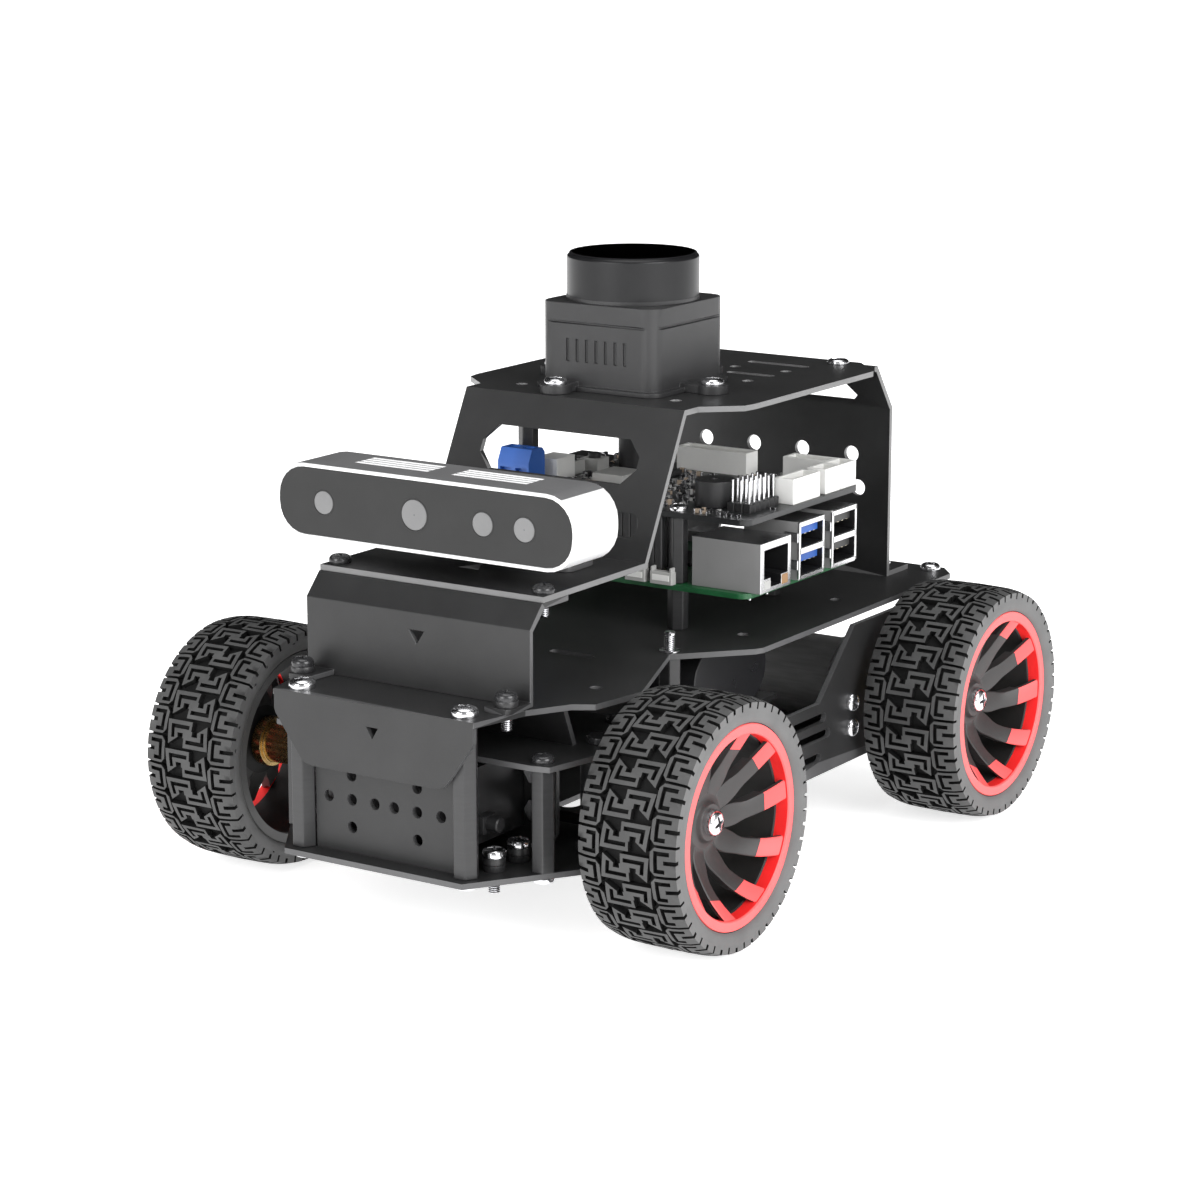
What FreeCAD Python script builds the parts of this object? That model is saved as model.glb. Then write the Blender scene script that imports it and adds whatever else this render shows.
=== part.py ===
import FreeCAD, Part
import os, math
import Sketcher

# Four wheel robot chassis: sheet metal deck, tub and cabin, steered front
# wheels, geared rear motors, single-board computer, expansion board, depth
# camera and rotating range finder.  X forward, Y left, Z up, millimetres,
# ground at Z = 0, X = 0 midway along the overall length.

os.makedirs("parts", exist_ok=True)
doc = FreeCAD.newDocument("robot_chassis")
V = FreeCAD.Vector
sheet = doc.addObject("Spreadsheet::Sheet", "dims")

DIMS = [
    ("half_length", 108.8), ("sheet_t", 1.5),
    # wheels
    ("front_axle_x", 66.3), ("rear_axle_x", -76.0), ("axle_z", 32.5),
    ("tyre_r", 32.5), ("tyre_y_in", 54.0), ("tyre_y_out", 82.1), ("rim_r", 26.1),
    ("rim_lip", 2.8), ("hub_face_y", 72.6), ("hub_back_y", 67.0), ("hub_barrel_r", 5.5),
    ("hub_flange_r", 6.75), ("shaft_r", 3.0), ("shaft_play", 0.05), ("spoke_count", 10),
    # levels
    ("tub_z", 18.5), ("steer_plate_z", 46.5), ("deck_z", 59.5), ("wall_low_z", 38.7),
    ("wall_high_z", 57.0), ("bracket_z", 80.6), ("shelf_z", 86.35), ("roof_z", 123.25),
    ("panel_bend_z", 109.7),
    # outlines
    ("deck_hw", 50.5), ("tub_hw", 50.0), ("nose_hw", 30.8), ("cabin_hw", 34.5),
    ("roof_hw", 44.5), ("panel_hw", 36.7), ("roof_front_x", 18.2), ("shelf_rear_x", 37.0),
    ("shelf_front_x", 83.2), ("roof_rear_x", -75.8), ("panel_x", -89.0),
    ("bracket_x", 87.6), ("flap_x", 106.4), ("grille_x", 101.7), ("grille_hw", 21.4),
    # steering
    ("kingpin_y", 40.0), ("kingpin_r", 2.0), ("arm_len", 11.0), ("horn_y", 10.0),
    ("horn_z", 34.3), ("pin_r", 1.25), ("knuckle_r", 5.0), ("pivot_r", 1.5),
    ("servo_front_x", 96.7), ("servo_rear_x", 62.0), ("servo_hw", 20.0), ("servo_z", 24.3),
    ("servo_h", 20.0), ("bolt_y", 24.75), ("bolt_z_low", 29.4), ("bolt_z_high", 39.3),
    ("flange_x", 67.2), ("flange_t", 2.5),
    # motors and battery
    ("gearbox_r", 12.2), ("can_r", 11.9), ("ring_r", 12.45), ("gearbox_y", 30.5),
    ("battery_front_x", 11.0), ("battery_rear_x", -26.4), ("battery_hw", 33.5),
    ("battery_z", 39.5), ("battery_h", 18.5),
    # boards
    ("pcb_front_x", 1.2), ("pcb_w", 56.0), ("pcb_len", 85.0), ("pcb_left_y", 43.5),
    ("pcb_z", 72.24), ("board_t", 1.5), ("hat_z", 91.8), ("hat_t", 1.6),
    ("hat_front_x", 0.4), ("hat_rear_x", -60.8), ("hat_hw", 43.0),
    ("jack_x", -9.0), ("usb_a_x", -27.9), ("usb_b_x", -45.8), ("port_face_y", 46.4),
    # range finder
    ("lidar_x", -10.8), ("lidar_w", 36.6), ("lidar_foot_w", 39.5), ("lidar_top_z", 148.1),
    ("turret_r", 17.8), ("top_z", 160.6), ("rotor_r", 15.4),
    # depth camera
    ("cam_front_x", 86.2), ("cam_depth", 19.2), ("cam_hw", 45.9), ("cam_hh", 9.7),
    ("cam_z", 104.65), ("glass_hw", 44.9), ("glass_hh", 8.7),
    # fasteners
    ("post_af", 5.9), ("post_small_af", 5.5), ("screw_r", 1.5), ("screw_hole_r", 1.7),
    ("m4_head_r", 3.5), ("m3_head_r", 2.9), ("hood_post_x", 103.4), ("hood_post_y", 25.0),
    ("rear_post_x", -103.8), ("rear_post_y", 43.0), ("mid_post_x", 20.7), ("mid_post_y", 31.9),
    ("ear_x", 94.95), ("ear_y", 31.5), ("shelf_screw_x", 78.7), ("column_x", 88.9),
    ("column_y", 38.1), ("column_rear_x", 47.5), ("column_rear_y", 33.0),
    ("panel_hole_r", 2.3), ("grille_hole_r", 1.5),
]


class Q:
    """A number together with the sheet expression that gives it."""

    def __init__(self, v, e):
        self.v = float(v)
        self.e = e

    def __add__(self, o):
        o = q(o)
        return Q(self.v + o.v, "(%s + %s)" % (self.e, o.e))

    __radd__ = __add__

    def __sub__(self, o):
        o = q(o)
        return Q(self.v - o.v, "(%s - %s)" % (self.e, o.e))

    def __rsub__(self, o):
        return q(o) - self

    def __mul__(self, o):
        o = q(o)
        return Q(self.v * o.v, "(%s * %s)" % (self.e, o.e))

    __rmul__ = __mul__

    def __neg__(self):
        return Q(-self.v, "(0 - %s)" % self.e)


def q(x):
    if isinstance(x, Q):
        return x
    x = float(x)
    s = "%.4f" % abs(x)
    return Q(x, s if x >= 0 else "(0 - %s)" % s)


class D:
    pass


for i, (alias, value) in enumerate(DIMS):
    row = i + 1
    sheet.set("A%d" % row, alias)
    sheet.set("B%d" % row, str(value))
    sheet.setAlias("B%d" % row, alias)
    setattr(D, alias, Q(value, "dims.%s" % alias))
doc.recompute()

NODES = []
COUNT = [0]


def uid(word):
    COUNT[0] += 1
    return "%s_%d" % (word, COUNT[0])


def node(label, obj):
    obj.Label = label
    NODES.append((label, obj))
    return obj


def place(o, x, y, z, rot=None):
    x, y, z = q(x), q(y), q(z)
    o.Placement = FreeCAD.Placement(V(x.v, y.v, z.v), rot or FreeCAD.Rotation())
    o.setExpression("Placement.Base.x", x.e)
    o.setExpression("Placement.Base.y", y.e)
    o.setExpression("Placement.Base.z", z.e)
    return o


def drive(o, prop, val):
    val = q(val)
    setattr(o, prop, val.v)
    o.setExpression(prop, val.e)


def box(x0, x1, y0, y1, z0, z1):
    o = doc.addObject("Part::Box", uid("block"))
    x0, x1, y0, y1, z0, z1 = [q(k) for k in (x0, x1, y0, y1, z0, z1)]
    drive(o, "Length", x1 - x0)
    drive(o, "Width", y1 - y0)
    drive(o, "Height", z1 - z0)
    return place(o, x0, y0, z0)


ROT = {"x": FreeCAD.Rotation(V(0, 1, 0), 90), "y": FreeCAD.Rotation(V(1, 0, 0), -90),
       "z": FreeCAD.Rotation()}


def seat(o, axis, u, w, a):
    if axis == "z":
        return place(o, u, w, a)
    if axis == "y":
        return place(o, u, a, w, ROT["y"])
    return place(o, a, u, w, ROT["x"])


def cyl(axis, u, w, r, a0, a1):
    o = doc.addObject("Part::Cylinder", uid("round"))
    drive(o, "Radius", r)
    drive(o, "Height", q(a1) - q(a0))
    return seat(o, axis, u, w, a0)


def cone(axis, u, w, r1, r2, a0, a1):
    o = doc.addObject("Part::Cone", uid("taper"))
    drive(o, "Radius1", r1)
    drive(o, "Radius2", r2)
    drive(o, "Height", q(a1) - q(a0))
    return seat(o, axis, u, w, a0)


def hexpost(x, y, af, z0, z1, turn=30.0):
    o = doc.addObject("Part::Prism", uid("hexagon"))
    o.Polygon = 6
    drive(o, "Circumradius", q(af) * 0.57735)
    drive(o, "Height", q(z1) - q(z0))
    return place(o, x, y, z0, FreeCAD.Rotation(V(0, 0, 1), turn))


def hexnut_x(y, z, af, x0, x1):
    o = doc.addObject("Part::Prism", uid("hexnut"))
    o.Polygon = 6
    drive(o, "Circumradius", q(af) * 0.57735)
    drive(o, "Height", q(x1) - q(x0))
    return place(o, x0, y, z, ROT["x"])


def fuse(parts):
    parts = list(parts)
    if len(parts) == 1:
        return parts[0]
    o = doc.addObject("Part::MultiFuse", uid("union"))
    o.Shapes = parts
    o.Refine = True
    return o


def cut(base, tools):
    tools = list(tools)
    o = doc.addObject("Part::Cut", uid("cut"))
    o.Base = base
    o.Tool = fuse(tools)
    o.Refine = True
    return o


def common(a, b):
    o = doc.addObject("Part::Common", uid("common"))
    o.Base = a
    o.Tool = b
    return o


def plane_of(body, role):
    for f in body.Origin.OriginFeatures:
        if f.Role == role:
            return f
    raise RuntimeError("no " + role)


def new_sketch(body, name, role, off=None):
    sk = body.newObject("Sketcher::SketchObject", name)
    sk.AttachmentSupport = [(plane_of(body, role), "")]
    sk.MapMode = "FlatFace"
    if off is not None:
        sk.AttachmentOffset = FreeCAD.Placement(V(0, 0, off.v), FreeCAD.Rotation())
        sk.setExpression("AttachmentOffset.Base.z", off.e)
    return sk


def add_poly(sk, pts):
    pts = [(q(a), q(b)) for a, b in pts]
    base = sk.GeometryCount
    n = len(pts)
    sk.addGeometry([Part.LineSegment(V(pts[i][0].v, pts[i][1].v, 0),
                                     V(pts[(i + 1) % n][0].v, pts[(i + 1) % n][1].v, 0))
                    for i in range(n)], False)
    first = sk.ConstraintCount
    cons = [Sketcher.Constraint("Coincident", base + i, 2, base + (i + 1) % n, 1) for i in range(n)]
    for i in range(n):
        cons.append(Sketcher.Constraint("DistanceX", -1, 1, base + i, 1, pts[i][0].v))
        cons.append(Sketcher.Constraint("DistanceY", -1, 1, base + i, 1, pts[i][1].v))
    sk.addConstraint(cons)
    for i in range(n):
        for j in (0, 1):
            if "dims." in pts[i][j].e:
                sk.setExpression("Constraints[%d]" % (first + n + 2 * i + j), pts[i][j].e)


def add_circle(sk, c):
    cx, cy, r = [q(k) for k in c]
    g = sk.addGeometry(Part.Circle(V(cx.v, cy.v, 0), V(0, 0, 1), r.v), False)
    first = sk.ConstraintCount
    sk.addConstraint([Sketcher.Constraint("DistanceX", -1, 1, g, 3, cx.v),
                      Sketcher.Constraint("DistanceY", -1, 1, g, 3, cy.v),
                      Sketcher.Constraint("Radius", g, r.v)])
    for j, val in enumerate((cx, cy, r)):
        if "dims." in val.e:
            sk.setExpression("Constraints[%d]" % (first + j), val.e)


ROLE = {"XY": "XY_Plane", "XZ": "XZ_Plane", "YZ": "YZ_Plane"}


def pad(word, plane, outer, a0, a1, holes=(), inner=()):
    """A plate: closed outline on an origin plane, from a0 to a1 along its normal axis."""
    a0, a1 = q(a0), q(a1)
    body = doc.addObject("PartDesign::Body", uid(word))
    off = -a1 if plane == "XZ" else a0
    sk = new_sketch(body, body.Name + "_sketch", ROLE[plane], off)
    add_poly(sk, outer)
    for c in holes:
        add_circle(sk, c)
    for p in inner:
        add_poly(sk, p)
    p = body.newObject("PartDesign::Pad", body.Name + "_pad")
    p.Profile = sk
    drive(p, "Length", a1 - a0)
    return body


def mirrored(pts):
    """Left half outline (front to rear) completed with its mirror image."""
    pts = [(q(a), q(b)) for a, b in pts]
    return pts + [(a, -b) for a, b in reversed(pts)]


def rrect(a0, a1, b0, b1, r, n=3):
    a0, a1, b0, b1 = q(a0), q(a1), q(b0), q(b1)
    out = []
    for ca, cb, start in ((a1 - r, b1 - r, 0), (a0 + r, b1 - r, 90),
                          (a0 + r, b0 + r, 180), (a1 - r, b0 + r, 270)):
        for k in range(n + 1):
            t = math.radians(start + 90.0 * k / n)
            out.append((ca + r * math.cos(t), cb + r * math.sin(t)))
    return out


def slot(a0, a1, b0, b1):
    w = min(abs(q(a1).v - q(a0).v), abs(q(b1).v - q(b0).v)) * 0.499
    return rrect(a0, a1, b0, b1, w, 4)


def both(pts):
    """The same holes on the left and the right side."""
    return [tuple(p) for p in pts] + [(p[0], -q(p[1])) + tuple(p[2:]) for p in pts]


def revolve(word, pts, x, z, side=1):
    """Section (radius, y) turned about the Y axis through (x, z)."""
    body = doc.addObject("PartDesign::Body", uid(word))
    sk = new_sketch(body, body.Name + "_sketch", "XY_Plane")
    add_poly(sk, [(q(r), q(y) * side) for r, y in pts])
    rv = body.newObject("PartDesign::Revolution", body.Name + "_turn")
    rv.Profile = sk
    rv.ReferenceAxis = (sk, ["V_Axis"])
    rv.Angle = 360.0
    return place(body, x, 0, z)


t = D.sheet_t
deck_top = D.deck_z + t
tub_top = D.tub_z + t
hr = D.screw_hole_r

# ------------------------------------------------------------------ tub plate
outline = mirrored([(D.half_length, 27.5), (84.7, 43.9), (82.1, 45.6), (56.0, 45.0), (32.0, 36.5),
                    (13.0, 36.5), (4.0, D.tub_hw), (-103.0, D.tub_hw), (-D.half_length, 44.5)])
floor = pad("tub_floor", "XY", outline, D.tub_z, tub_top,
            holes=both([(D.front_axle_x, D.kingpin_y, D.kingpin_r + 0.05), (95.0, 27.5, hr), (85.0, 27.9, hr),
                        (D.hood_post_x, D.hood_post_y, hr), (D.column_x, D.column_y, hr), (D.column_rear_x, D.column_rear_y, hr),
                        (D.mid_post_x, D.mid_post_y, hr), (D.rear_post_x, D.rear_post_y, hr)]),
            inner=[slot(-24.0, 12.0, -3.0, 3.0), slot(-24.0, 0.0, 14.0, 20.0), slot(-24.0, 0.0, -20.0, -14.0),
                   slot(22.0, 40.0, -14.0, -8.0), slot(22.0, 40.0, 8.0, 14.0),
                   slot(-98.0, -92.0, -24.0, 24.0)])
wall_shape = [(4.0, D.tub_z), (4.0, D.wall_low_z - 3), (1.0, D.wall_low_z), (-27.4, D.wall_low_z),
              (-46.3, D.wall_high_z), (-98.0, D.wall_high_z), (-101.0, D.wall_high_z - 3), (-101.0, D.tub_z)]
walls = []
for sgn in (1, -1):
    y0, y1 = (D.tub_hw - t, D.tub_hw) if sgn > 0 else (-D.tub_hw, t - D.tub_hw)
    walls.append(pad("tub_wall", "XZ", wall_shape, y0, y1,
                     holes=[(D.rear_axle_x, D.axle_z, 4.0), (-44.7, 35.5, hr), (-44.7, 28.3, hr)],
                     inner=[slot(-31.0, -12.5, 33.1, 35.7), slot(-33.5, -15.3, 28.2, 30.8),
                            slot(-28.5, -17.8, 22.2, 24.8)]))
node("bottom_chassis_plate", fuse([floor] + walls))

# -------------------------------------------------------- upper steering plate
top_plate = pad("steer_plate", "XY",
                mirrored([(93.5, 37.5), (92.4, 42.4), (76.5, 45.7), (57.0, 45.7), (43.0, 37.0), (43.0, 12.0), (50.0, 8.0)]),
                D.steer_plate_z, D.steer_plate_z + t,
                holes=both([(D.front_axle_x, D.kingpin_y, D.kingpin_r + 0.05), (D.column_x, D.column_y, hr),
                            (D.column_rear_x, D.column_rear_y, hr)]))
sp = D.steer_plate_z
lip = pad("steer_lip", "XZ", [(70.4, sp + 0.5), (72.2, sp + 0.5), (77.4, D.deck_z - 0.1), (75.7, D.deck_z - 0.1)], -36.0, 36.0)
node("steering_top_plate", fuse([top_plate, lip]))

# --------------------------------------------------------------------- deck
pcb_hole_x1 = D.pcb_front_x - 3.5
pcb_hole_x2 = D.pcb_front_x - 52.5
pcb_hole_y1 = D.pcb_left_y - 23.5
pcb_hole_y2 = D.pcb_left_y - 81.5
pcb_holes = [(pcb_hole_x1, pcb_hole_y1), (pcb_hole_x2, pcb_hole_y1), (pcb_hole_x1, pcb_hole_y2), (pcb_hole_x2, pcb_hole_y2)]
deck_plan = mirrored([(D.flap_x + t, D.nose_hw), (91.2, 34.5), (80.2, 40.7), (77.0, 45.7), (60.1, 48.4),
                      (23.8, 33.8), (6.4, 49.5), (4.0, D.deck_hw), (-102.8, 50.0), (-D.half_length, 45.0)])
deck_flat = pad("deck_flat", "XY", deck_plan, D.deck_z, deck_top,
                holes=both([(D.hood_post_x, D.hood_post_y, 2.2), (D.rear_post_x, D.rear_post_y, hr),
                            (D.mid_post_x, D.mid_post_y, hr), (D.ear_x, D.ear_y, hr), (-95.6, 31.0, hr),
                            (63.0, 36.6, 1.6), (-5.9, 38.3, 1.6), (-55.7, 38.6, 1.6)]),
                inner=[slot(35.2, 38.4, 5.0, 18.5), slot(35.2, 38.4, -18.5, -5.0)])
flap = pad("deck_flap", "YZ", [(30.6, deck_top), (30.6, 55.9), (30.2, 54.8), (22.6, 44.3), (21.2, 43.1), (19.0, 42.6),
                               (-19.0, 42.6), (-21.2, 43.1), (-22.6, 44.3), (-30.2, 54.8), (-30.6, 55.9), (-30.6, deck_top)],
           D.flap_x, D.flap_x + t, inner=[[(-1.9, 55.3), (1.9, 55.3), (0.0, 52.2)]])
node("main_deck", fuse([deck_flat, flap]))

# --------------------------------------------------------------- front bracket
bx = D.bracket_x
shelf_top = D.shelf_z + t
profile = [(bx + t, deck_top), (bx + t, D.bracket_z), (bx - 4.5 + 0.6, D.shelf_z), (72.0, D.shelf_z),
           (72.0, D.shelf_z - t), (bx - 5.1, D.shelf_z - t), (bx, D.bracket_z - 0.7), (bx, deck_top)]
web = pad("bracket_web", "XZ", profile, -D.cabin_hw, D.cabin_hw)
ears = [pad("bracket_ear", "XY", [(bx, 26.0 * 1), (98.0, 26.8), (98.2, 33.5), (96.5, D.cabin_hw), (bx, D.cabin_hw)],
            deck_top, deck_top + t, holes=[(D.ear_x, D.ear_y, hr)]),
        pad("bracket_ear", "XY", [(bx, -26.0), (98.0, -26.8), (98.2, -33.5), (96.5, -D.cabin_hw), (bx, -D.cabin_hw)],
            deck_top, deck_top + t, holes=[(D.ear_x, -D.ear_y, hr)])]
node("camera_bracket", cut(fuse([web] + ears), [
    pad("bracket_mark", "YZ", [(-2.2, 76.0), (2.2, 76.0), (0.0, 72.6)], bx - 1, bx + 3)]
    + [cyl("z", D.shelf_screw_x, k, hr, D.shelf_z - 3, D.shelf_z + 1) for k in (D.ear_y, -D.ear_y)]))

# ---------------------------------------------------------------- cabin shell
rf = D.roof_front_x
sr = D.shelf_rear_x
cabin_profile = [(D.shelf_front_x, shelf_top), (sr, shelf_top), (rf, D.roof_z + t), (D.roof_rear_x, D.roof_z + t),
                 (D.roof_rear_x, D.roof_z), (rf - 0.92, D.roof_z), (sr - 0.92, D.shelf_z), (D.shelf_front_x, D.shelf_z)]
cabin_side = pad("cabin_side", "XZ", cabin_profile, -D.roof_hw, D.roof_hw)
cabin_plan = pad("cabin_plan", "XY",
                 mirrored([(D.shelf_front_x + 1, D.cabin_hw), (11.7, D.cabin_hw), (3.5, 43.7), (-1.0, D.roof_hw),
                           (-64.4, D.roof_hw), (D.roof_rear_x - 1, 33.5)]), 80.0, 130.0)
shell = common(cabin_side, cabin_plan)
win = pad("cabin_window", "YZ", [(24.7, 109.3), (24.7, 112.4), (20.7, 116.4), (-20.7, 116.4), (-24.7, 112.4),
                                 (-24.7, 109.3), (-20.7, 105.3), (20.7, 105.3)], 15.0, 42.0)
win2 = pad("cabin_window_low", "YZ", rrect(-29.5, 29.5, 93.0, 99.0, 2.5), 20.0, 45.0)
roof_tools = []
for sgn in (1, -1):
    for x, ya, yb in ((-60.8, 6.5, 26.0), (-41.8, 11.0, 26.0)):
        a, b = (ya, yb) if sgn > 0 else (-yb, -ya)
        roof_tools.append(pad("roof_slot", "XY", slot(x - 1.5, x + 1.5, a, b), D.roof_z - 2, D.roof_z + 4))
    for x, y, r in ((-50.9, 8.2, 1.6), (-50.9, 24.5, 1.6), (-31.3, 23.9, 1.6), (6.5, 24.5, 1.6), (-70.3, 30.0, 1.7)):
        roof_tools.append(cyl("z", x, sgn * y, r, D.roof_z - 2, D.roof_z + 4))
    roof_tools.append(cyl("z", D.shelf_screw_x, D.ear_y * sgn, hr, D.shelf_z - 2, D.shelf_z + 4))
roof_tools.append(pad("shelf_mark", "XY", [(66.6, -3.2), (66.6, 3.2), (60.4, 0.0)], D.shelf_z - 2, D.shelf_z + 4))
node("cabin_shell", cut(shell, [win, win2] + roof_tools))

# ---------------------------------------------------------------- rear panel
px = D.panel_x
bend = D.panel_bend_z
rz = D.roof_z
panel_profile = [(px - 12.8, deck_top), (px, deck_top), (px, bend), (px + 8.5, rz - t), (px + 25.0, rz - t),
                 (px + 25.0, rz), (px + 7.7, rz), (px - t, bend + 0.5), (px - t, deck_top + t), (px - 12.8, deck_top + t)]
panel = pad("panel_side", "XZ", panel_profile, -D.panel_hw, D.panel_hw)
panel_tools = [pad("panel_window", "YZ", [(27.5, 113.4), (25.0, 116.9), (-25.0, 116.9), (-27.5, 113.4), (-25.6, 111.7), (25.6, 111.7)],
                   px - 3, px + 8)]
for y, z in ((8.1, 95.7), (24.4, 95.7), (26.7, 86.1)):
    for sgn in (1, -1):
        panel_tools.append(cyl("x", sgn * y, z, D.panel_hole_r, px - 3, px + 2))
for sgn in (1, -1):
    panel_tools.append(cyl("z", -95.6, sgn * 31.0, hr, deck_top - 1, deck_top + 3))
    panel_tools.append(cyl("z", -70.3, sgn * 30.0, hr, rz - 3, rz + 1))
    ya, yb = (33.5, 40.0) if sgn > 0 else (-40.0, -33.5)
    panel_tools.append(box(px + 9.5, px + 30, ya, yb, rz - 4, rz + 2))
panel_tools.append(pad("panel_cable_gap", "YZ", rrect(-20.0, 20.0, 60.0, 72.0, 3.0), px - 14, px + 2))
node("rear_panel", cut(panel, panel_tools))

# -------------------------------------------------------------- grille panel
gh = D.grille_hole_r
holes = [(0 + s * y, 34.0, gh) for y in (3.0, 10.1, 17.4) for s in (1, -1)]
holes += [(s * 10.15, z, gh) for z in (26.8, 40.3) for s in (1, -1)]
node("grille_panel", pad("grille", "YZ", [(D.grille_hw, tub_top), (D.grille_hw, D.deck_z), (-D.grille_hw, D.deck_z), (-D.grille_hw, tub_top)],
                         D.grille_x, D.grille_x + t, holes=holes,
                         inner=[rrect(-14.0, 14.0, 47.0, 55.0, 2.0)]))

# --------------------------------------------------------------------- posts
node("hood_posts", fuse([hexpost(D.hood_post_x, s * D.hood_post_y, D.post_af, tub_top, D.deck_z) for s in (1, -1)]))
node("deck_posts", fuse([hexpost(x, y * s, D.post_small_af, tub_top, D.deck_z)
                         for s in (1, -1) for x, y in ((D.rear_post_x, D.rear_post_y), (D.mid_post_x, D.mid_post_y))]))
node("steering_posts", fuse([hexpost(x, y * s, D.post_small_af, tub_top, D.steer_plate_z)
                             for s in (1, -1) for x, y in ((D.column_x, D.column_y), (D.column_rear_x, D.column_rear_y))]))

# ------------------------------------------------------------------ kingpins
kp = []
for s in (1, -1):
    kp.append(cyl("z", D.front_axle_x, D.kingpin_y * s, D.kingpin_r, D.tub_z, D.steer_plate_z + t))
    kp.append(cyl("z", D.front_axle_x, D.kingpin_y * s, 3.4, D.steer_plate_z + t, D.steer_plate_z + t + 1.9))
    kp.append(cyl("z", D.front_axle_x, D.kingpin_y * s, 3.4, D.tub_z - 1.7, D.tub_z))
node("kingpins", fuse(kp))

# --------------------------------------------------------------------- servo
sz0 = D.servo_z
sz1 = D.servo_z + D.servo_h
fx = D.flange_x
node("servo_bracket", pad("servo_plate", "YZ",
     mirrored([(30.0, D.steer_plate_z), (30.0, 23.5), (28.0, tub_top)])[0:3] +
     [(-28.0, tub_top), (-30.0, 23.5), (-30.0, D.steer_plate_z)],
     fx + D.flange_t, fx + D.flange_t + t,
     holes=[(s * D.bolt_y, z, hr) for s in (1, -1) for z in (D.bolt_z_low, D.bolt_z_high)],
     inner=[[(D.servo_hw + 0.1, sz0 - 0.1), (D.servo_hw + 0.1, sz1 + 0.1), (-D.servo_hw - 0.1, sz1 + 0.1), (-D.servo_hw - 0.1, sz0 - 0.1)]]))
case = box(D.servo_rear_x, D.servo_front_x, -D.servo_hw, D.servo_hw, sz0, sz1)
flange = pad("servo_flange", "YZ", rrect(-27.6, 27.6, sz0 + 1, sz1 - 1, 1.5), fx, fx + D.flange_t,
             holes=[(s * D.bolt_y, z, hr) for s in (1, -1) for z in (D.bolt_z_low, D.bolt_z_high)])
node("servo_case", fuse([case, flange,
                         cyl("x", D.horn_y, D.horn_z, 5.2, D.servo_rear_x - 1.7, D.servo_rear_x),
                         cyl("x", D.horn_y, D.horn_z, 2.8, D.servo_rear_x - 5.0, D.servo_rear_x),
                         box(87.0, 92.5, D.servo_hw, D.servo_hw + 2.5, 27.5, 32.0)]))
tie_x = D.front_axle_x - D.arm_len
pin_z = D.horn_z - D.arm_len
horn_arm = pad("horn_arm", "YZ", [(D.horn_y + 4.6, D.horn_z), (D.horn_y + 2.5, pin_z), (D.horn_y + 1.4, pin_z - 2.1),
                                  (D.horn_y - 1.4, pin_z - 2.1), (D.horn_y - 2.5, pin_z), (D.horn_y - 4.6, D.horn_z)],
               tie_x + 1.9, tie_x + 4.5)
horn = fuse([horn_arm, cyl("x", D.horn_y, D.horn_z, 5.0, tie_x + 1.9, tie_x + 4.5),
             cyl("x", D.horn_y, pin_z, D.pin_r, tie_x - 2.9, tie_x + 1.9)])
node("servo_horn", cut(horn, [cyl("x", D.horn_y, D.horn_z, 2.85, tie_x + 1.0, tie_x + 5.0)]))

# ------------------------------------------------------------------ tie rod
bar = box(tie_x - 1.7, tie_x + 0.7, -D.kingpin_y, D.kingpin_y, 21.6, 24.6)
yoke = box(tie_x - 1.9, tie_x + 0.7, D.horn_y - 4.0, D.horn_y + 4.0, 20.9, 27.6)
eyes = [cyl("z", tie_x, s * D.kingpin_y, 3.3, 21.6, 24.6) for s in (1, -1)]
slotbox = box(tie_x - 3.0, tie_x + 2.0, D.horn_y - D.pin_r - 0.05, D.horn_y + D.pin_r + 0.05, pin_z - 1.4, pin_z + 2.4)
node("tie_rod", cut(fuse([bar, yoke] + eyes),
                    [slotbox] + [cyl("z", tie_x, s * D.kingpin_y, D.pivot_r + 0.05, 20.0, 26.0) for s in (1, -1)]))

# ----------------------------------------------------------------- knuckles
for side, s in (("left", 1), ("right", -1)):
    ky = D.kingpin_y * s
    ax = D.front_axle_x

    def span(a, b, s=s):
        return (q(a), q(b)) if s > 0 else (-q(b), -q(a))
    y0, y1 = span(D.kingpin_y - 1, 46.0)
    a0, a1 = span(D.kingpin_y - 2.6, D.kingpin_y + 2.6)
    s0, s1 = span(45.0, 64.0)
    barrel = cyl("z", ax, ky, D.knuckle_r, tub_top + 0.3, D.steer_plate_z - 0.3)
    collar = fuse([cyl("z", ax, ky, 6.2, tub_top + 0.3, tub_top + 1.8), cyl("z", ax, ky, 6.2, D.steer_plate_z - 1.8, D.steer_plate_z - 0.3)])
    solid = fuse([barrel, collar, box(ax - 6, ax + 6, y0, y1, 26.0, 39.0), cyl("y", ax, D.axle_z, D.shaft_r, s0, s1),
                  box(tie_x, ax, a0, a1, 25.2, 28.4), cyl("z", tie_x, ky, 3.3, 25.2, 28.4),
                  cyl("z", tie_x, ky, D.pivot_r, 20.9, 25.2)])
    node("knuckle_" + side, cut(solid, [cyl("z", ax, ky, D.kingpin_r + 0.05, tub_top - 1, D.steer_plate_z + 1)]))

# ------------------------------------------------------------- drive motors
for side, s in (("left", 1), ("right", -1)):
    def rng(a, b, s=s):
        return (q(a), q(b)) if s > 0 else (-q(b), -q(a))
    rx, az = D.rear_axle_x, D.axle_z
    wall_in = D.tub_hw - t
    pieces = []
    for r, a, b in ((D.can_r, 9.0, D.gearbox_y), (D.ring_r, D.gearbox_y - 0.8, D.gearbox_y + 1.0), (D.gearbox_r, D.gearbox_y, wall_in),
                    (3.9, wall_in - 1, D.tub_hw), (D.shaft_r, wall_in - 1, 64.0), (10.6, 1.0, 9.0)):
        a, b = rng(a, b)
        pieces.append(cyl("y", rx, az, r, a, b))
    node("drive_motor_" + side, fuse(pieces))

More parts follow.
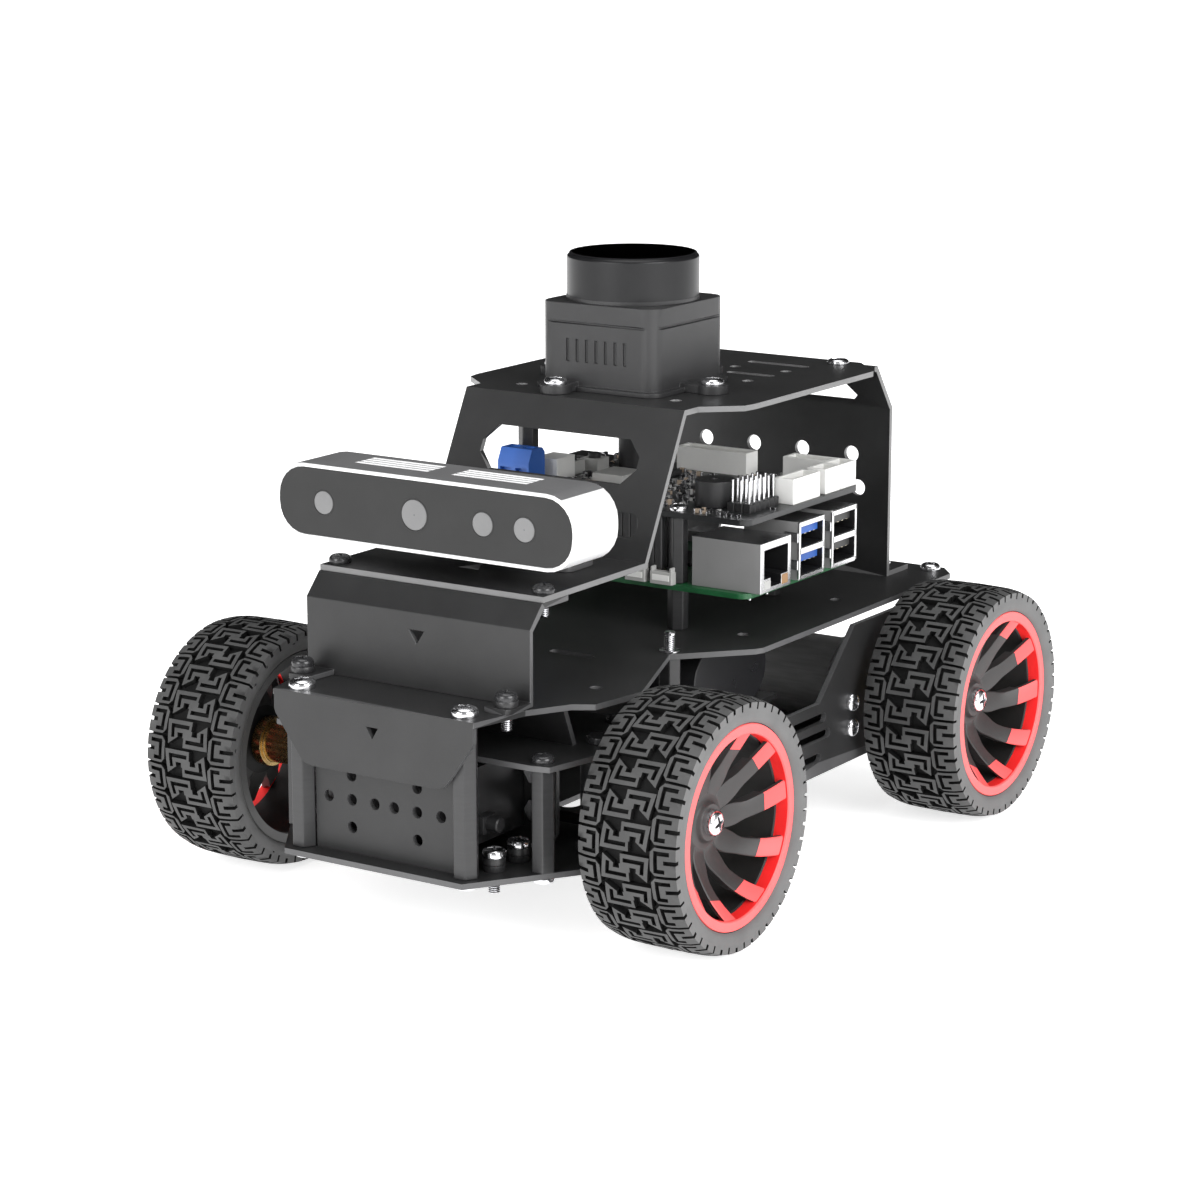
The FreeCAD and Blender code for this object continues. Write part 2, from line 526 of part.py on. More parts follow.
# ------------------------------------------------------------------ battery
bz = D.battery_z
node("battery_pack", pad("battery", "XZ", rrect(D.battery_rear_x, D.battery_front_x, bz, bz + D.battery_h, 8.8, 7), -D.battery_hw, D.battery_hw))
tray = [box(D.battery_rear_x - 2, D.battery_front_x + 2, -36.0, 36.0, bz - t, bz)]
for s in (1, -1):
    for x0 in (-24.0, 0.0):
        a, b = (34.5, 36.0) if s > 0 else (-36.0, -34.5)
        tray.append(box(x0, x0 + 10, a, b, tub_top, bz))
for x0, x9 in ((D.battery_front_x + 0.5, D.battery_front_x + 2), (D.battery_rear_x - 2, D.battery_rear_x - 0.5)):
    tray.append(box(x0, x9, -30.0, 30.0, bz - t, bz + 8))
node("battery_tray", fuse(tray))

# --------------------------------------------------------- computer and ports
pz1 = D.pcb_z + D.board_t
node("computer_board", pad("pcb", "XY", rrect(D.pcb_front_x - D.pcb_w, D.pcb_front_x, D.pcb_left_y - D.pcb_len, D.pcb_left_y, 3.0),
                           D.pcb_z, pz1, holes=[(x, y, 1.35) for x, y in pcb_holes]))
py = D.port_face_y
jack = box(D.jack_x - 8, D.jack_x + 8, py - 21.3, py, pz1, pz1 + 13.5)
node("ethernet_jack", cut(jack, [box(D.jack_x - 6.4, D.jack_x + 6.0, py - 12, py + 1, pz1 + 3.8, pz1 + 11.4),
                                 box(D.jack_x - 2.9, D.jack_x + 2.5, py - 12, py + 1, pz1 + 1.2, pz1 + 4.4)]))
ports = []
for ux in (D.usb_a_x, D.usb_b_x):
    shell_box = box(ux - 6.55, ux + 6.55, py - 17.4, py, pz1, pz1 + 16)
    gaps = [box(ux - 5.95, ux + 5.95, py - 10, py + 1, pz1 + z0, pz1 + z0 + 5.6) for z0 in (1.5, 9.0)]
    hollow = cut(shell_box, gaps)
    ports.append(hollow)
    for z0 in (4.7, 12.2):
        ports.append(box(ux - 5.5, ux + 5.5, py - 10.2, py - 1.6, pz1 + z0, pz1 + z0 + 1.9))
rear_edge = D.pcb_front_x - D.pcb_w
for y, w in ((-30.8, 9.0), (-16.5, 7.2), (-3.2, 7.2)):
    ports.append(box(rear_edge - 1.2, rear_edge + 6.3, y - w * 0.5, y + w * 0.5, pz1, pz1 + 3.1))
node("usb_ports", fuse(ports))
chips = [box(-34.5, -19.5, -17.0, -2.0, pz1, pz1 + 1.4), box(-34.0, -20.0, 3.0, 13.0, pz1, pz1 + 1.0),
         box(-16.0, -10.0, 6.0, 12.0, pz1, pz1 + 1.0), box(-46.0, -40.0, 12.0, 18.0, pz1, pz1 + 1.2),
         box(-45.0, -40.0, -26.0, -21.0, pz1, pz1 + 1.0)]
node("computer_chips", fuse(chips))
hz1 = D.hat_z + D.hat_t
hdr = [box(pcb_hole_x1 - 2.5, pcb_hole_x1 + 2.5, -34.4, 16.4, pz1, D.hat_z),
       box(-24.0, -8.0, 31.0, 38.6, hz1, hz1 + 2.5)]
for k in range(6):
    for j in range(3):
        px0 = -22.6 + 2.54 * k
        py0 = 32.26 + 2.54 * j
        hdr.append(box(px0 - 0.32, px0 + 0.32, py0 - 0.32, py0 + 0.32, hz1, hz1 + 8.6))
node("pin_headers", fuse(hdr))
stand = []
for x, y in pcb_holes:
    stand.append(hexpost(x, y, 5.0, deck_top, D.pcb_z, 0.0))
for x, y in pcb_holes:
    stand.append(hexpost(x, y, 4.6, pz1, D.hat_z, 0.0) if y.v < 0 or x.v < -10 else hexpost(x, y, 4.6, pz1, D.hat_z, 0.0))
stand.append(hexpost(-19.0, -40.0, 5.0, hz1, D.roof_z, 0.0))
node("board_standoffs", fuse(stand))
node("expansion_board", pad("hat", "XY", rrect(D.hat_rear_x, D.hat_front_x, -D.hat_hw, D.hat_hw, 3.0), D.hat_z, hz1,
                            holes=[(x, y, 1.4) for x, y in pcb_holes]))
block = pad("terminal", "XZ", [(-15.4, hz1), (-7.4, hz1), (-7.4, hz1 + 6.4), (-9.2, hz1 + 10.0), (-14.2, hz1 + 10.0), (-15.4, hz1 + 8.6)], -42.4, -32.0)
node("terminal_block", cut(block, [cyl("z", -11.6, y, 1.8, hz1 + 7, hz1 + 11) for y in (-39.8, -34.7)]
                           + [box(-9.0, -6.0, y - 1.8, y + 1.8, hz1 + 1.2, hz1 + 4.8) for y in (-39.8, -34.7)]))
conn = []
for x0, x9 in ((-39.4, -24.9), (-50.6, -42.4), (-59.5, -50.9)):
    conn.append(cut(box(x0, x9, 36.5, 42.3, hz1, hz1 + 7.0), [box(x0 + 0.9, x9 - 0.9, 37.4, 41.4, hz1 + 1.5, hz1 + 8.0)]))
conn.append(cut(box(-59.0, -52.6, -12.0, 11.0, hz1, hz1 + 6.6), [box(-58.0, -53.6, -11.0, 10.0, hz1 + 1.5, hz1 + 7.0)]))
conn.append(cut(box(-60.4, -54.0, 22.0, 36.0, hz1, hz1 + 6.8), [box(-59.4, -55.0, 23.0, 35.0, hz1 + 1.5, hz1 + 7.2)]))
node("white_connectors", fuse(conn))
node("buzzer", cut(cyl("z", -14.0, 24.4, 5.5, hz1, hz1 + 7.2), [cyl("z", -14.0, 24.4, 1.1, hz1 + 5, hz1 + 8)]))
comp = [box(-14.0, -7.0, -2.0, 5.0, hz1, hz1 + 1.2), box(-26.0, -15.0, -16.0, -6.0, hz1, hz1 + 4.5),
        box(-46.0, -36.0, -16.0, -6.0, hz1, hz1 + 1.4), box(-14.4, -10.0, -18.0, -13.5, hz1, hz1 + 2.5), cyl("z", -48.0, -24.0, 4.0, hz1, hz1 + 9.5),
        box(-46.0, -39.0, -40.0, -33.0, hz1, hz1 + 3.6), box(-44.0, -38.0, 22.0, 28.0, hz1, hz1 + 3.0),
        box(-9.0, -5.0, -14.0, -8.0, hz1, hz1 + 2.0), box(-30.0, -25.0, 20.0, 26.0, hz1, hz1 + 3.2),
        box(-26.0, -17.0, -36.4, -29.0, hz1, hz1 + 6.5)]
node("board_components", fuse(comp))
keys = (("button_a", -30.5, -33.5), ("button_b", -37.5, -30.0))
btn = []
for word, x, y in keys:
    btn.append(cut(box(x - 3, x + 3, y - 3, y + 3, hz1, hz1 + 3.8), [cyl("z", x, y, 1.85, hz1 + 1.0, hz1 + 5)]))
node("button_bodies", fuse(btn))
for word, x, y in keys:
    node(word, cyl("z", x, y, 1.75, hz1 + 1.6, hz1 + 5.2))

# --------------------------------------------------------------- range finder
lx = D.lidar_x
roof_top = D.roof_z + t
hw = D.lidar_w * 0.5
fw = D.lidar_foot_w * 0.5
lz = D.lidar_top_z
lid = [pad("lidar_foot", "XY", rrect(lx - fw, lx + fw, -fw, fw, 4.0), roof_top, roof_top + 1.3),
       pad("lidar_box", "XY", rrect(lx - hw, lx + hw, -hw, hw, 4.5), roof_top + 1.3, lz),
       cyl("z", lx, 0, 2.0, lz, lz + 4.4)]
lug_at = ((24.0, -9.0), (-24.0, 9.0), (2.0, 26.4), (-2.0, -26.4))
for dx, dy in lug_at:
    lid.append(cyl("z", lx + dx, dy, 4.2, roof_top, roof_top + 2.4))
    if abs(dx) > abs(dy):
        a, b = (15.0, 24.0) if dx > 0 else (-24.0, -15.0)
        lid.append(box(lx + a, lx + b, dy - 3.4, dy + 3.4, roof_top, roof_top + 2.4))
    else:
        a, b = (15.0, 26.4) if dy > 0 else (-26.4, -15.0)
        lid.append(box(lx + dx - 3.4, lx + dx + 3.4, a, b, roof_top, roof_top + 2.4))
bars = [box(lx + hw - 0.6, lx + hw + 1, y - 0.45, y + 0.45, 135.5 - h, 135.5 + h)
        for y, h in ((-9.0, 3.0), (-6.0, 3.0), (-3.0, 3.0), (0.0, 3.0), (3.0, 3.0), (6.0, 3.0), (9.0, 3.0))]
seam = cut(box(lx - hw - 1, lx + hw + 1, -hw - 1, hw + 1, 142.6, 143.1),
           [box(lx - hw + 0.5, lx + hw - 0.5, -hw + 0.5, hw - 0.5, 142.0, 144.0)])
node("lidar_base", cut(fuse(lid), bars + [seam] + [cyl("z", lx + dx, dy, hr, roof_top - 1, roof_top + 5) for dx, dy in lug_at]))
cap = cut(cyl("z", lx, 0, D.turret_r, lz, D.top_z), [cyl("z", lx, 0, D.turret_r - 1.2, lz - 1, D.top_z - 1.6)])
node("lidar_window", cut(cap, [cut(cyl("z", lx, 0, D.turret_r + 2, D.top_z - 1.0, D.top_z + 1), [cone("z", lx, 0, D.turret_r, D.turret_r - 1.2, D.top_z - 1.0, D.top_z + 0.2)])]))
rotor = cut(cyl("z", lx, 0, D.rotor_r, lz + 0.8, lz + 9.6),
            [cyl("z", lx, 0, 2.05, lz, lz + 5.0), box(lx + 9.0, lx + 18, -6.5, 6.5, lz + 3.0, lz + 8.5)])
node("lidar_rotor", rotor)

# --------------------------------------------------------------- depth camera
cx1 = D.cam_front_x
cz = D.cam_z
cam = pad("camera_case", "YZ", rrect(-D.cam_hw, D.cam_hw, cz - D.cam_hh, cz + D.cam_hh, 8.6, 6), cx1 - D.cam_depth, cx1)
pocket = pad("camera_recess", "YZ", rrect(-D.glass_hw, D.glass_hw, cz - D.glass_hh, cz + D.glass_hh, 7.8, 6), cx1 - 1.2, cx1 + 1)
grooves = [box(cx1 - 15.5 + 2.2 * k, cx1 - 14.5 + 2.2 * k, -26.0, -4.0, cz + D.cam_hh - 0.8, cz + D.cam_hh + 1) for k in range(4)]
grooves += [box(cx1 - 15.5 + 2.2 * k, cx1 - 14.5 + 2.2 * k, 4.0, 26.0, cz + D.cam_hh - 0.8, cz + D.cam_hh + 1) for k in range(4)]
node("depth_camera_body", cut(cam, [pocket] + grooves))
lens = [(-30.9, 3.25), (-2.5, 4.15), (18.3, 3.3), (30.7, 3.35)]
node("camera_front_glass", pad("camera_glass", "YZ", rrect(-D.glass_hw, D.glass_hw, cz - D.glass_hh, cz + D.glass_hh, 7.8, 6),
                               cx1 - 1.2, cx1 - 0.2, holes=[(y, cz, r) for y, r in lens]))
node("camera_lenses", fuse([cyl("x", y, cz, r, cx1 - 1.2, cx1 - 0.35) for y, r in lens]))
cam_low = cz - D.cam_hh
node("camera_mount", fuse([pad("camera_foot", "XY", rrect(45.0, 58.0, -25.0, 25.0, 2.5), shelf_top, shelf_top + t),
                           pad("camera_tab", "XZ", [(56.5, shelf_top + 0.5), (58.0, shelf_top + 0.5), (58.0, cam_low - t), (78.0, cam_low - t), (78.0, cam_low), (56.5, cam_low)],
                               -16.0, 16.0)]))

# -------------------------------------------------------------------- screws
silver = []


def pan(x, y, z, head_r, head_h, shank_r, shank_len):
    return fuse([cyl("z", x, y, head_r, z, z + head_h * 0.55), cone("z", x, y, head_r, head_r * 0.72, z + head_h * 0.55, z + head_h),
                 cyl("z", x, y, shank_r, z - shank_len, z)])


for s in (1, -1):
    silver += [pan(D.hood_post_x, s * D.hood_post_y, deck_top, D.m4_head_r, 2.6, 2.0, t),
               pan(D.rear_post_x, s * D.rear_post_y, deck_top, D.m3_head_r, 2.2, D.screw_r, t),
               fuse([cyl("z", D.mid_post_x, s * D.mid_post_y, D.screw_r, D.deck_z, deck_top + 5.4),
                     cyl("z", D.mid_post_x, s * D.mid_post_y, 2.9, deck_top, deck_top + 0.5)]),
               pan(-95.6, s * 31.0, deck_top + t, D.m3_head_r, 2.2, D.screw_r, t * 2),
               pan(-70.3, s * 30.0, roof_top, D.m3_head_r, 2.1, D.screw_r, t * 2)]
    for x, y in ((95.0, 27.5), (85.0, 27.9)):
        silver += [pan(x, s * y, 23.7, 3.1, 2.2, D.screw_r, q(23.7) - D.tub_z + 4.2), cyl("z", x, s * y, 2.9, tub_top, 23.7)]
    for x, y in ((D.hood_post_x, D.hood_post_y), (D.column_x, D.column_y), (D.column_rear_x, D.column_rear_y),
                 (D.mid_post_x, D.mid_post_y), (D.rear_post_x, D.rear_post_y)):
        silver.append(fuse([cyl("z", x, s * y, D.m3_head_r, D.tub_z - 1.7, D.tub_z), cyl("z", x, s * y, D.screw_r, D.tub_z - 0.5, tub_top)]))
    for z in (D.bolt_z_low, D.bolt_z_high):
        silver += [fuse([cyl("x", s * D.bolt_y, z, 2.7, fx - 2.2, fx), cyl("x", s * D.bolt_y, z, D.screw_r, fx, fx + 6.8),
                         hexnut_x(s * D.bolt_y, z, 5.5, fx + D.flange_t + t, fx + D.flange_t + t + 2.4)])]
    for z in (35.5, 28.3):
        silver.append(fuse([cyl("y", -44.7, z, 2.6, D.tub_hw, D.tub_hw + 1.9), cyl("y", -44.7, z, D.screw_r, D.tub_hw - t, D.tub_hw)])
                      if s > 0 else
                      fuse([cyl("y", -44.7, z, 2.6, -D.tub_hw - 1.9, -D.tub_hw), cyl("y", -44.7, z, D.screw_r, -D.tub_hw, t - D.tub_hw)]))
for dx, dy in lug_at:
    silver.append(pan(lx + dx, dy, roof_top + 2.4, D.m3_head_r, 2.2, D.screw_r, 2.4))
for x, y in pcb_holes:
    silver.append(pan(x, y, hz1, 2.5, 1.9, 1.3, D.hat_t))
silver.append(cyl("z", 63.6, 3.5, 1.1, 88.8, 93.45))
node("silver_screws", fuse(silver))
black = []
for s in (1, -1):
    black += [pan(D.ear_x, s * D.ear_y, deck_top + t + 1.6, D.m3_head_r, 2.2, D.screw_r, t * 2 + 1.6),
              cut(cyl("z", D.ear_x, s * D.ear_y, 3.0, deck_top + t, deck_top + t + 1.6), [cyl("z", D.ear_x, s * D.ear_y, D.screw_r, deck_top, deck_top + t + 2)]),
              pan(D.shelf_screw_x, s * D.ear_y, shelf_top, D.m3_head_r, 2.2, D.screw_r, t * 2),
              pan(D.column_x, s * D.column_y, D.steer_plate_z + t, D.m3_head_r, 2.0, D.screw_r, t),
              pan(D.column_rear_x, s * D.column_rear_y, D.steer_plate_z + t, D.m3_head_r, 2.0, D.screw_r, t)]
node("black_screws", fuse(black))

# -------------------------------------------------------------------- wheels
ty0, ty1 = D.tyre_y_in, D.tyre_y_out
R = D.tyre_r
hf, hb = D.hub_face_y, D.hub_back_y
for corner, wx, s, inner_y in (("front_left", D.front_axle_x, 1, 47.0), ("front_right", D.front_axle_x, -1, 47.0),
                               ("rear_left", D.rear_axle_x, 1, 51.5), ("rear_right", D.rear_axle_x, -1, 51.5)):
    az = D.axle_z
    node("tyre_" + corner, revolve("tyre", [
        (D.rim_r, ty0 + 1.4), (R - 4.2, ty0), (R - 1.6, ty0 + 0.3), (R - 0.4, ty0 + 1.4), (R, ty0 + 3.0),
        (R, ty1 - 3.0), (R - 0.4, ty1 - 1.4), (R - 1.6, ty1 - 0.3), (R - 4.2, ty1), (D.rim_r, ty1 - 0.9)], wx, az, s))
    body = revolve("rim", [
        (D.rim_r, ty0 + 1.5), (D.rim_r, ty1 - 0.9), (D.rim_r - D.rim_lip, ty1 - 1.2), (D.rim_r - D.rim_lip - 0.6, ty1 - 3.6),
        (15.0, hf + 1.6), (8.2, hf - 1.2), (7.2, hf), (2.1, hf), (2.1, hb), (8.6, hb), (15.5, hf - 1.4), (D.rim_r - D.rim_lip, ty1 - 7.5),
        (D.rim_r - D.rim_lip, ty0 + 1.5)], wx, az, s)
    sk = new_sketch(body, body.Name + "_gap", "XZ_Plane")
    add_poly(sk, [(9.4, -1.2), (21.6, -4.6), (22.2, -1.4), (21.6, 3.2), (9.4, 1.4)])
    pk = body.newObject("PartDesign::Pocket", body.Name + "_pocket")
    pk.Profile = sk
    pk.Type = 1
    pk.Reversed = s < 0
    pp = body.newObject("PartDesign::PolarPattern", body.Name + "_spokes")
    pp.Originals = [pk]
    for f in body.Origin.OriginFeatures:
        if f.Role == "Y_Axis":
            pp.Axis = (f, [""])
    pp.Angle = 360.0
    pp.Occurrences = int(D.spoke_count.v)
    body.Tip = pp
    node("rim_" + corner, body)
    node("hub_" + corner, revolve("hub", [
        (D.shaft_r + D.shaft_play, inner_y), (D.hub_barrel_r, inner_y), (D.hub_barrel_r, hb - 3), (D.hub_flange_r, hb - 3),
        (D.hub_flange_r, hb), (0.0, hb), (0.0, 64.5), (D.shaft_r + D.shaft_play, 64.5)], wx, az, s))
    node("wheel_screw_" + corner, revolve("wheel_screw", [
        (0.0, hb), (2.0, hb), (2.0, hf), (3.5, hf), (3.5, hf + 1.5), (2.6, hf + 2.5), (0.0, hf + 2.7)], wx, az, s))

doc.recompute()
bad = []
for o in doc.Objects:
    st = [str(k) for k in o.State]
    if "Invalid" in st or "Error" in st:
        bad.append((o.Name, st))
for label, o in NODES:
    sh = o.Shape
    if sh.isNull() or not sh.isValid() or sh.Volume <= 0:
        bad.append((label, "shape"))
for b in bad:
    print("BAD", b)
if bad:
    raise RuntimeError("%d objects failed" % len(bad))
for label, o in NODES:
    bb = o.Shape.BoundBox
    print("%-24s vol %9.1f solids %2d x %7.2f %7.2f y %7.2f %7.2f z %7.2f %7.2f" % (
        label, o.Shape.Volume, len(o.Shape.Solids), bb.XMin, bb.XMax, bb.YMin, bb.YMax, bb.ZMin, bb.ZMax))
    o.Shape.exportStep("parts/%s.step" % label)
print("nodes", len(NODES))
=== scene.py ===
import math
import random

import bmesh
import bpy
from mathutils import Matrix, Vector
from mathutils.bvhtree import BVHTree
from mathutils.geometry import delaunay_2d_cdt


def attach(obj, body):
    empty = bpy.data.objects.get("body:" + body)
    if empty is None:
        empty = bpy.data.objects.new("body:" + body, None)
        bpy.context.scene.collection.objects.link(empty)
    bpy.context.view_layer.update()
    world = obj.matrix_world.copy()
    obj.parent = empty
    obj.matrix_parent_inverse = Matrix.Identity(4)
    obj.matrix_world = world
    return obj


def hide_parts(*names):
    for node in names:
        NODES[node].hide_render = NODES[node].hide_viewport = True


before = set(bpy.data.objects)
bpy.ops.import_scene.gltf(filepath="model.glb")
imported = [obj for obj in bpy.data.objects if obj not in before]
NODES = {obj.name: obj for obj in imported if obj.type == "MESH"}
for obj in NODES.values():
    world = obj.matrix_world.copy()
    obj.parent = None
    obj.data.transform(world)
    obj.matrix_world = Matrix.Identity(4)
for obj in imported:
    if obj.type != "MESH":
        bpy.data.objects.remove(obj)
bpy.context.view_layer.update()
rnd = random.Random(7)
MM = 0.001

# ------------------------------------------------------------------ materials
MATS = {}


def mat(name, color, rough=0.45, metal=0.0, spec=0.5, coat=0.0, noise=(900.0, 0.04), bump=(2500.0, 0.12),
        vary=0.12, dust=0.0, color2=None, streak=False):
    """Procedural finish: fine grain in bump, slow change in colour and roughness."""
    if name in MATS:
        return MATS[name]
    m = bpy.data.materials.new(name)
    m.use_nodes = True
    nt = m.node_tree
    nt.nodes.clear()
    out = nt.nodes.new("ShaderNodeOutputMaterial")
    bs = nt.nodes.new("ShaderNodeBsdfPrincipled")
    nt.links.new(bs.outputs[0], out.inputs[0])
    bs.inputs["Metallic"].default_value = metal
    bs.inputs["Specular IOR Level"].default_value = spec
    bs.inputs["Coat Weight"].default_value = coat
    bs.inputs["Coat Roughness"].default_value = 0.12
    tc = nt.nodes.new("ShaderNodeTexCoord")
    mp = nt.nodes.new("ShaderNodeMapping")
    if streak:
        mp.inputs["Scale"].default_value = (1.0, 1.0, 12.0)
    nt.links.new(tc.outputs["Object"], mp.inputs["Vector"])
    n1 = nt.nodes.new("ShaderNodeTexNoise")
    n1.inputs["Scale"].default_value = noise[0] * 0.12
    n1.inputs["Detail"].default_value = 5.0
    nt.links.new(mp.outputs[0], n1.inputs["Vector"])
    n2 = nt.nodes.new("ShaderNodeTexNoise")
    n2.inputs["Scale"].default_value = bump[0]
    n2.inputs["Detail"].default_value = 2.0
    nt.links.new(mp.outputs[0], n2.inputs["Vector"])
    ramp = nt.nodes.new("ShaderNodeValToRGB")
    c = Vector(color)
    lo = c * (1.0 - vary)
    hi = Vector(color2) if color2 else c * (1.0 + vary) + Vector((1, 1, 1)) * vary * 0.01
    ramp.color_ramp.elements[0].position = 0.3
    ramp.color_ramp.elements[1].position = 0.72
    ramp.color_ramp.elements[0].color = (lo[0], lo[1], lo[2], 1)
    ramp.color_ramp.elements[1].color = (hi[0], hi[1], hi[2], 1)
    nt.links.new(n1.outputs["Fac"], ramp.inputs["Fac"])
    nt.links.new(ramp.outputs["Color"], bs.inputs["Base Color"])
    rr = nt.nodes.new("ShaderNodeMapRange")
    rr.inputs["To Min"].default_value = max(0.02, rough - noise[1])
    rr.inputs["To Max"].default_value = min(1.0, rough + noise[1])
    nt.links.new(n2.outputs["Fac"], rr.inputs["Value"])
    nt.links.new(rr.outputs[0], bs.inputs["Roughness"])
    bp = nt.nodes.new("ShaderNodeBump")
    bp.inputs["Strength"].default_value = bump[1]
    bp.inputs["Distance"].default_value = 0.00012
    nt.links.new(n2.outputs["Fac"], bp.inputs["Height"])
    nt.links.new(bp.outputs[0], bs.inputs["Normal"])
    MATS[name] = m
    return m


POWDER = mat("powder_coat", (0.0165, 0.0165, 0.017), rough=0.42, spec=0.5, noise=(600.0, 0.05), bump=(3200.0, 0.2), vary=0.15)
# Lighter copies of the black powder coat for the sheets' cut edges: painted highlight where the edges catch the light,
# brightest on the roof and rear panel.
ROOF_EDGE_PAINTED_HIGHLIGHT = mat("powder_coat_roof_edge_painted_highlight", (0.14, 0.14, 0.141), rough=0.34, spec=0.6, noise=(600.0, 0.05), bump=(3200.0, 0.15), vary=0.1)
EDGE_PAINTED_HIGHLIGHT = mat("powder_coat_edge_painted_highlight", (0.075, 0.075, 0.077), rough=0.38, spec=0.6, noise=(600.0, 0.05), bump=(3200.0, 0.15), vary=0.12)
# Darker grey for the upward faces of the white camera shell: painted shade from the dim light above.
CAM_TOP_PAINTED_SHADE = mat("camera_shell_painted_shade_top", (0.15, 0.15, 0.153), rough=0.5, metal=0.2, noise=(800, 0.05), bump=(5200, 0.2), vary=0.08)
# Flat grey for the front faces of the plated ports in place of the metal: a painted reflection of what those faces
# mirror.
JACK_FRONT_PAINTED_REFLECTION = mat("port_metal_front_painted_reflection", (0.22, 0.22, 0.22), rough=0.45, spec=0.4, noise=(900, 0.04), bump=(5200, 0.1), vary=0.05)
DARK_TONGUE = mat("dark_tongue", (0.03, 0.03, 0.03), rough=0.4, bump=(3500, 0.1), vary=0.08)
# Near black for the port mouths: the ethernet jack's real black insert, and painted shade on the plated walls inside
# the USB mouths.
PORT_INSIDE_BLACK_AND_SHADE = mat("port_inside_black_insert_and_painted_shade", (0.006, 0.006, 0.007), rough=0.5, bump=(3200, 0.1))
RIM_LIP = mat("rim_back_lip", (0.10, 0.10, 0.10), rough=0.5, bump=(3800, 0.2), vary=0.1)
# Near-black copy of the tread rubber for groove floors and walls: painted shade in the grooves.
GROOVE_PAINTED_SHADE = mat("tread_groove_painted_shade", (0.006, 0.006, 0.006), rough=0.7, spec=0.2, bump=(3500, 0.3), vary=0.2)
POST = mat("black_oxide", (0.022, 0.022, 0.023), rough=0.36, metal=0.0, spec=0.6, bump=(2600, 0.12), streak=True)
PLASTIC = mat("black_plastic", (0.02, 0.02, 0.021), rough=0.42, bump=(4200, 0.25))
RUBBER = mat("tread_rubber", (0.055, 0.055, 0.055), rough=0.60, spec=0.4, bump=(3500, 0.35), vary=0.2)
SIDEWALL = mat("sidewall_rubber", (0.135, 0.135, 0.135), rough=0.65, spec=0.25, bump=(3800, 0.3), vary=0.1)
RED = mat("red_face", (1.0, 0.115, 0.115), rough=0.42, spec=0.4, bump=(4200, 0.12), vary=0.05)
# Deeper, darker copy of the rim's red for the inner wall of the red ring: painted shade.
RED_INNER_PAINTED_SHADE = mat("red_inner_painted_shade", (0.95, 0.025, 0.025), rough=0.38, spec=0.4, bump=(4200, 0.12), vary=0.08)
RIM = mat("spoke_plastic", (0.04, 0.039, 0.039), rough=0.45, bump=(4200, 0.22), vary=0.12)
# Darker copy of the spoke plastic for the rim's barrel and the cone behind the spokes: painted shade.
RIM_INSIDE_PAINTED_SHADE = mat("rim_inside_painted_shade", (0.012, 0.012, 0.012), rough=0.55, bump=(4200, 0.2))
STEEL = mat("zinc_steel", (0.80, 0.80, 0.82), rough=0.2, metal=1.0, noise=(900, 0.07), bump=(1500, 0.05), vary=0.08)
BLACK_STEEL = mat("black_steel", (0.035, 0.035, 0.037), rough=0.24, metal=0.35, spec=0.7, bump=(2200, 0.08))
BRASS = mat("brass", (0.62, 0.43, 0.19), rough=0.26, metal=1.0, noise=(700, 0.08), bump=(1800, 0.08), vary=0.15, streak=True)
PLATED = mat("plated_shell", (0.74, 0.74, 0.75), rough=0.24, metal=1.0, noise=(500, 0.06), bump=(1200, 0.05), vary=0.08)
BOARD_GREEN = mat("green_mask", (0.012, 0.105, 0.035), rough=0.34, spec=0.5, noise=(900, 0.05), bump=(900, 0.1), vary=0.3)
BOARD_BLACK = mat("black_mask", (0.012, 0.013, 0.014), rough=0.32, spec=0.5, noise=(900, 0.05), bump=(900, 0.1), vary=0.3)
CHIP = mat("chip_epoxy", (0.016, 0.016, 0.017), rough=0.5, bump=(4200, 0.25), vary=0.15)
BLUE = mat("blue_terminal", (0.03, 0.13, 0.50), rough=0.36, bump=(3500, 0.1), vary=0.08)
BLUE_IN = mat("blue_tongue", (0.02, 0.09, 0.36), rough=0.4, bump=(3500, 0.1), vary=0.08)
WHITE = mat("white_housing", (0.80, 0.80, 0.78), rough=0.42, bump=(3200, 0.12), vary=0.04)
GREY_HOUSING = mat("grey_housing", (0.40, 0.40, 0.39), rough=0.45, bump=(3200, 0.12), vary=0.06)
TAN = mat("tan_part", (0.42, 0.33, 0.25), rough=0.5, bump=(2500, 0.1), vary=0.1)
GOLD = mat("gold_pin", (0.85, 0.78, 0.62), rough=0.22, metal=1.0, bump=(1500, 0.05), vary=0.08)
LIDAR = mat("lidar_case", (0.026, 0.026, 0.027), rough=0.40, bump=(4800, 0.3), vary=0.1)
LIDAR_TOP = mat("lidar_cap", (0.008, 0.008, 0.009), rough=0.32, spec=0.35, bump=(4800, 0.1), vary=0.1)
CAM_SHELL = mat("camera_shell", (0.93, 0.93, 0.935), rough=0.32, metal=0.25, noise=(800, 0.05), bump=(5200, 0.2), vary=0.04)
CAM_GLASS = mat("camera_black_glass", (0.030, 0.030, 0.030), rough=0.4, spec=0.2, coat=0.0, bump=(900, 0.01), vary=0.05)
LENS = mat("lens_window", (0.135, 0.135, 0.137), rough=0.18, spec=0.6, coat=0.6, bump=(900, 0.01), vary=0.08)
LENS_DARK = mat("lens_core", (0.05, 0.05, 0.055), rough=0.12, spec=0.6, coat=1.0, bump=(900, 0.01), vary=0.05)
MOTOR = mat("motor_can", (0.46, 0.46, 0.465), rough=0.4, metal=0.25, bump=(1400, 0.1), vary=0.12, streak=True)
WRAP = mat("battery_wrap", (0.02, 0.02, 0.022), rough=0.3, spec=0.5, noise=(60, 0.1), bump=(120, 0.25), vary=0.15)

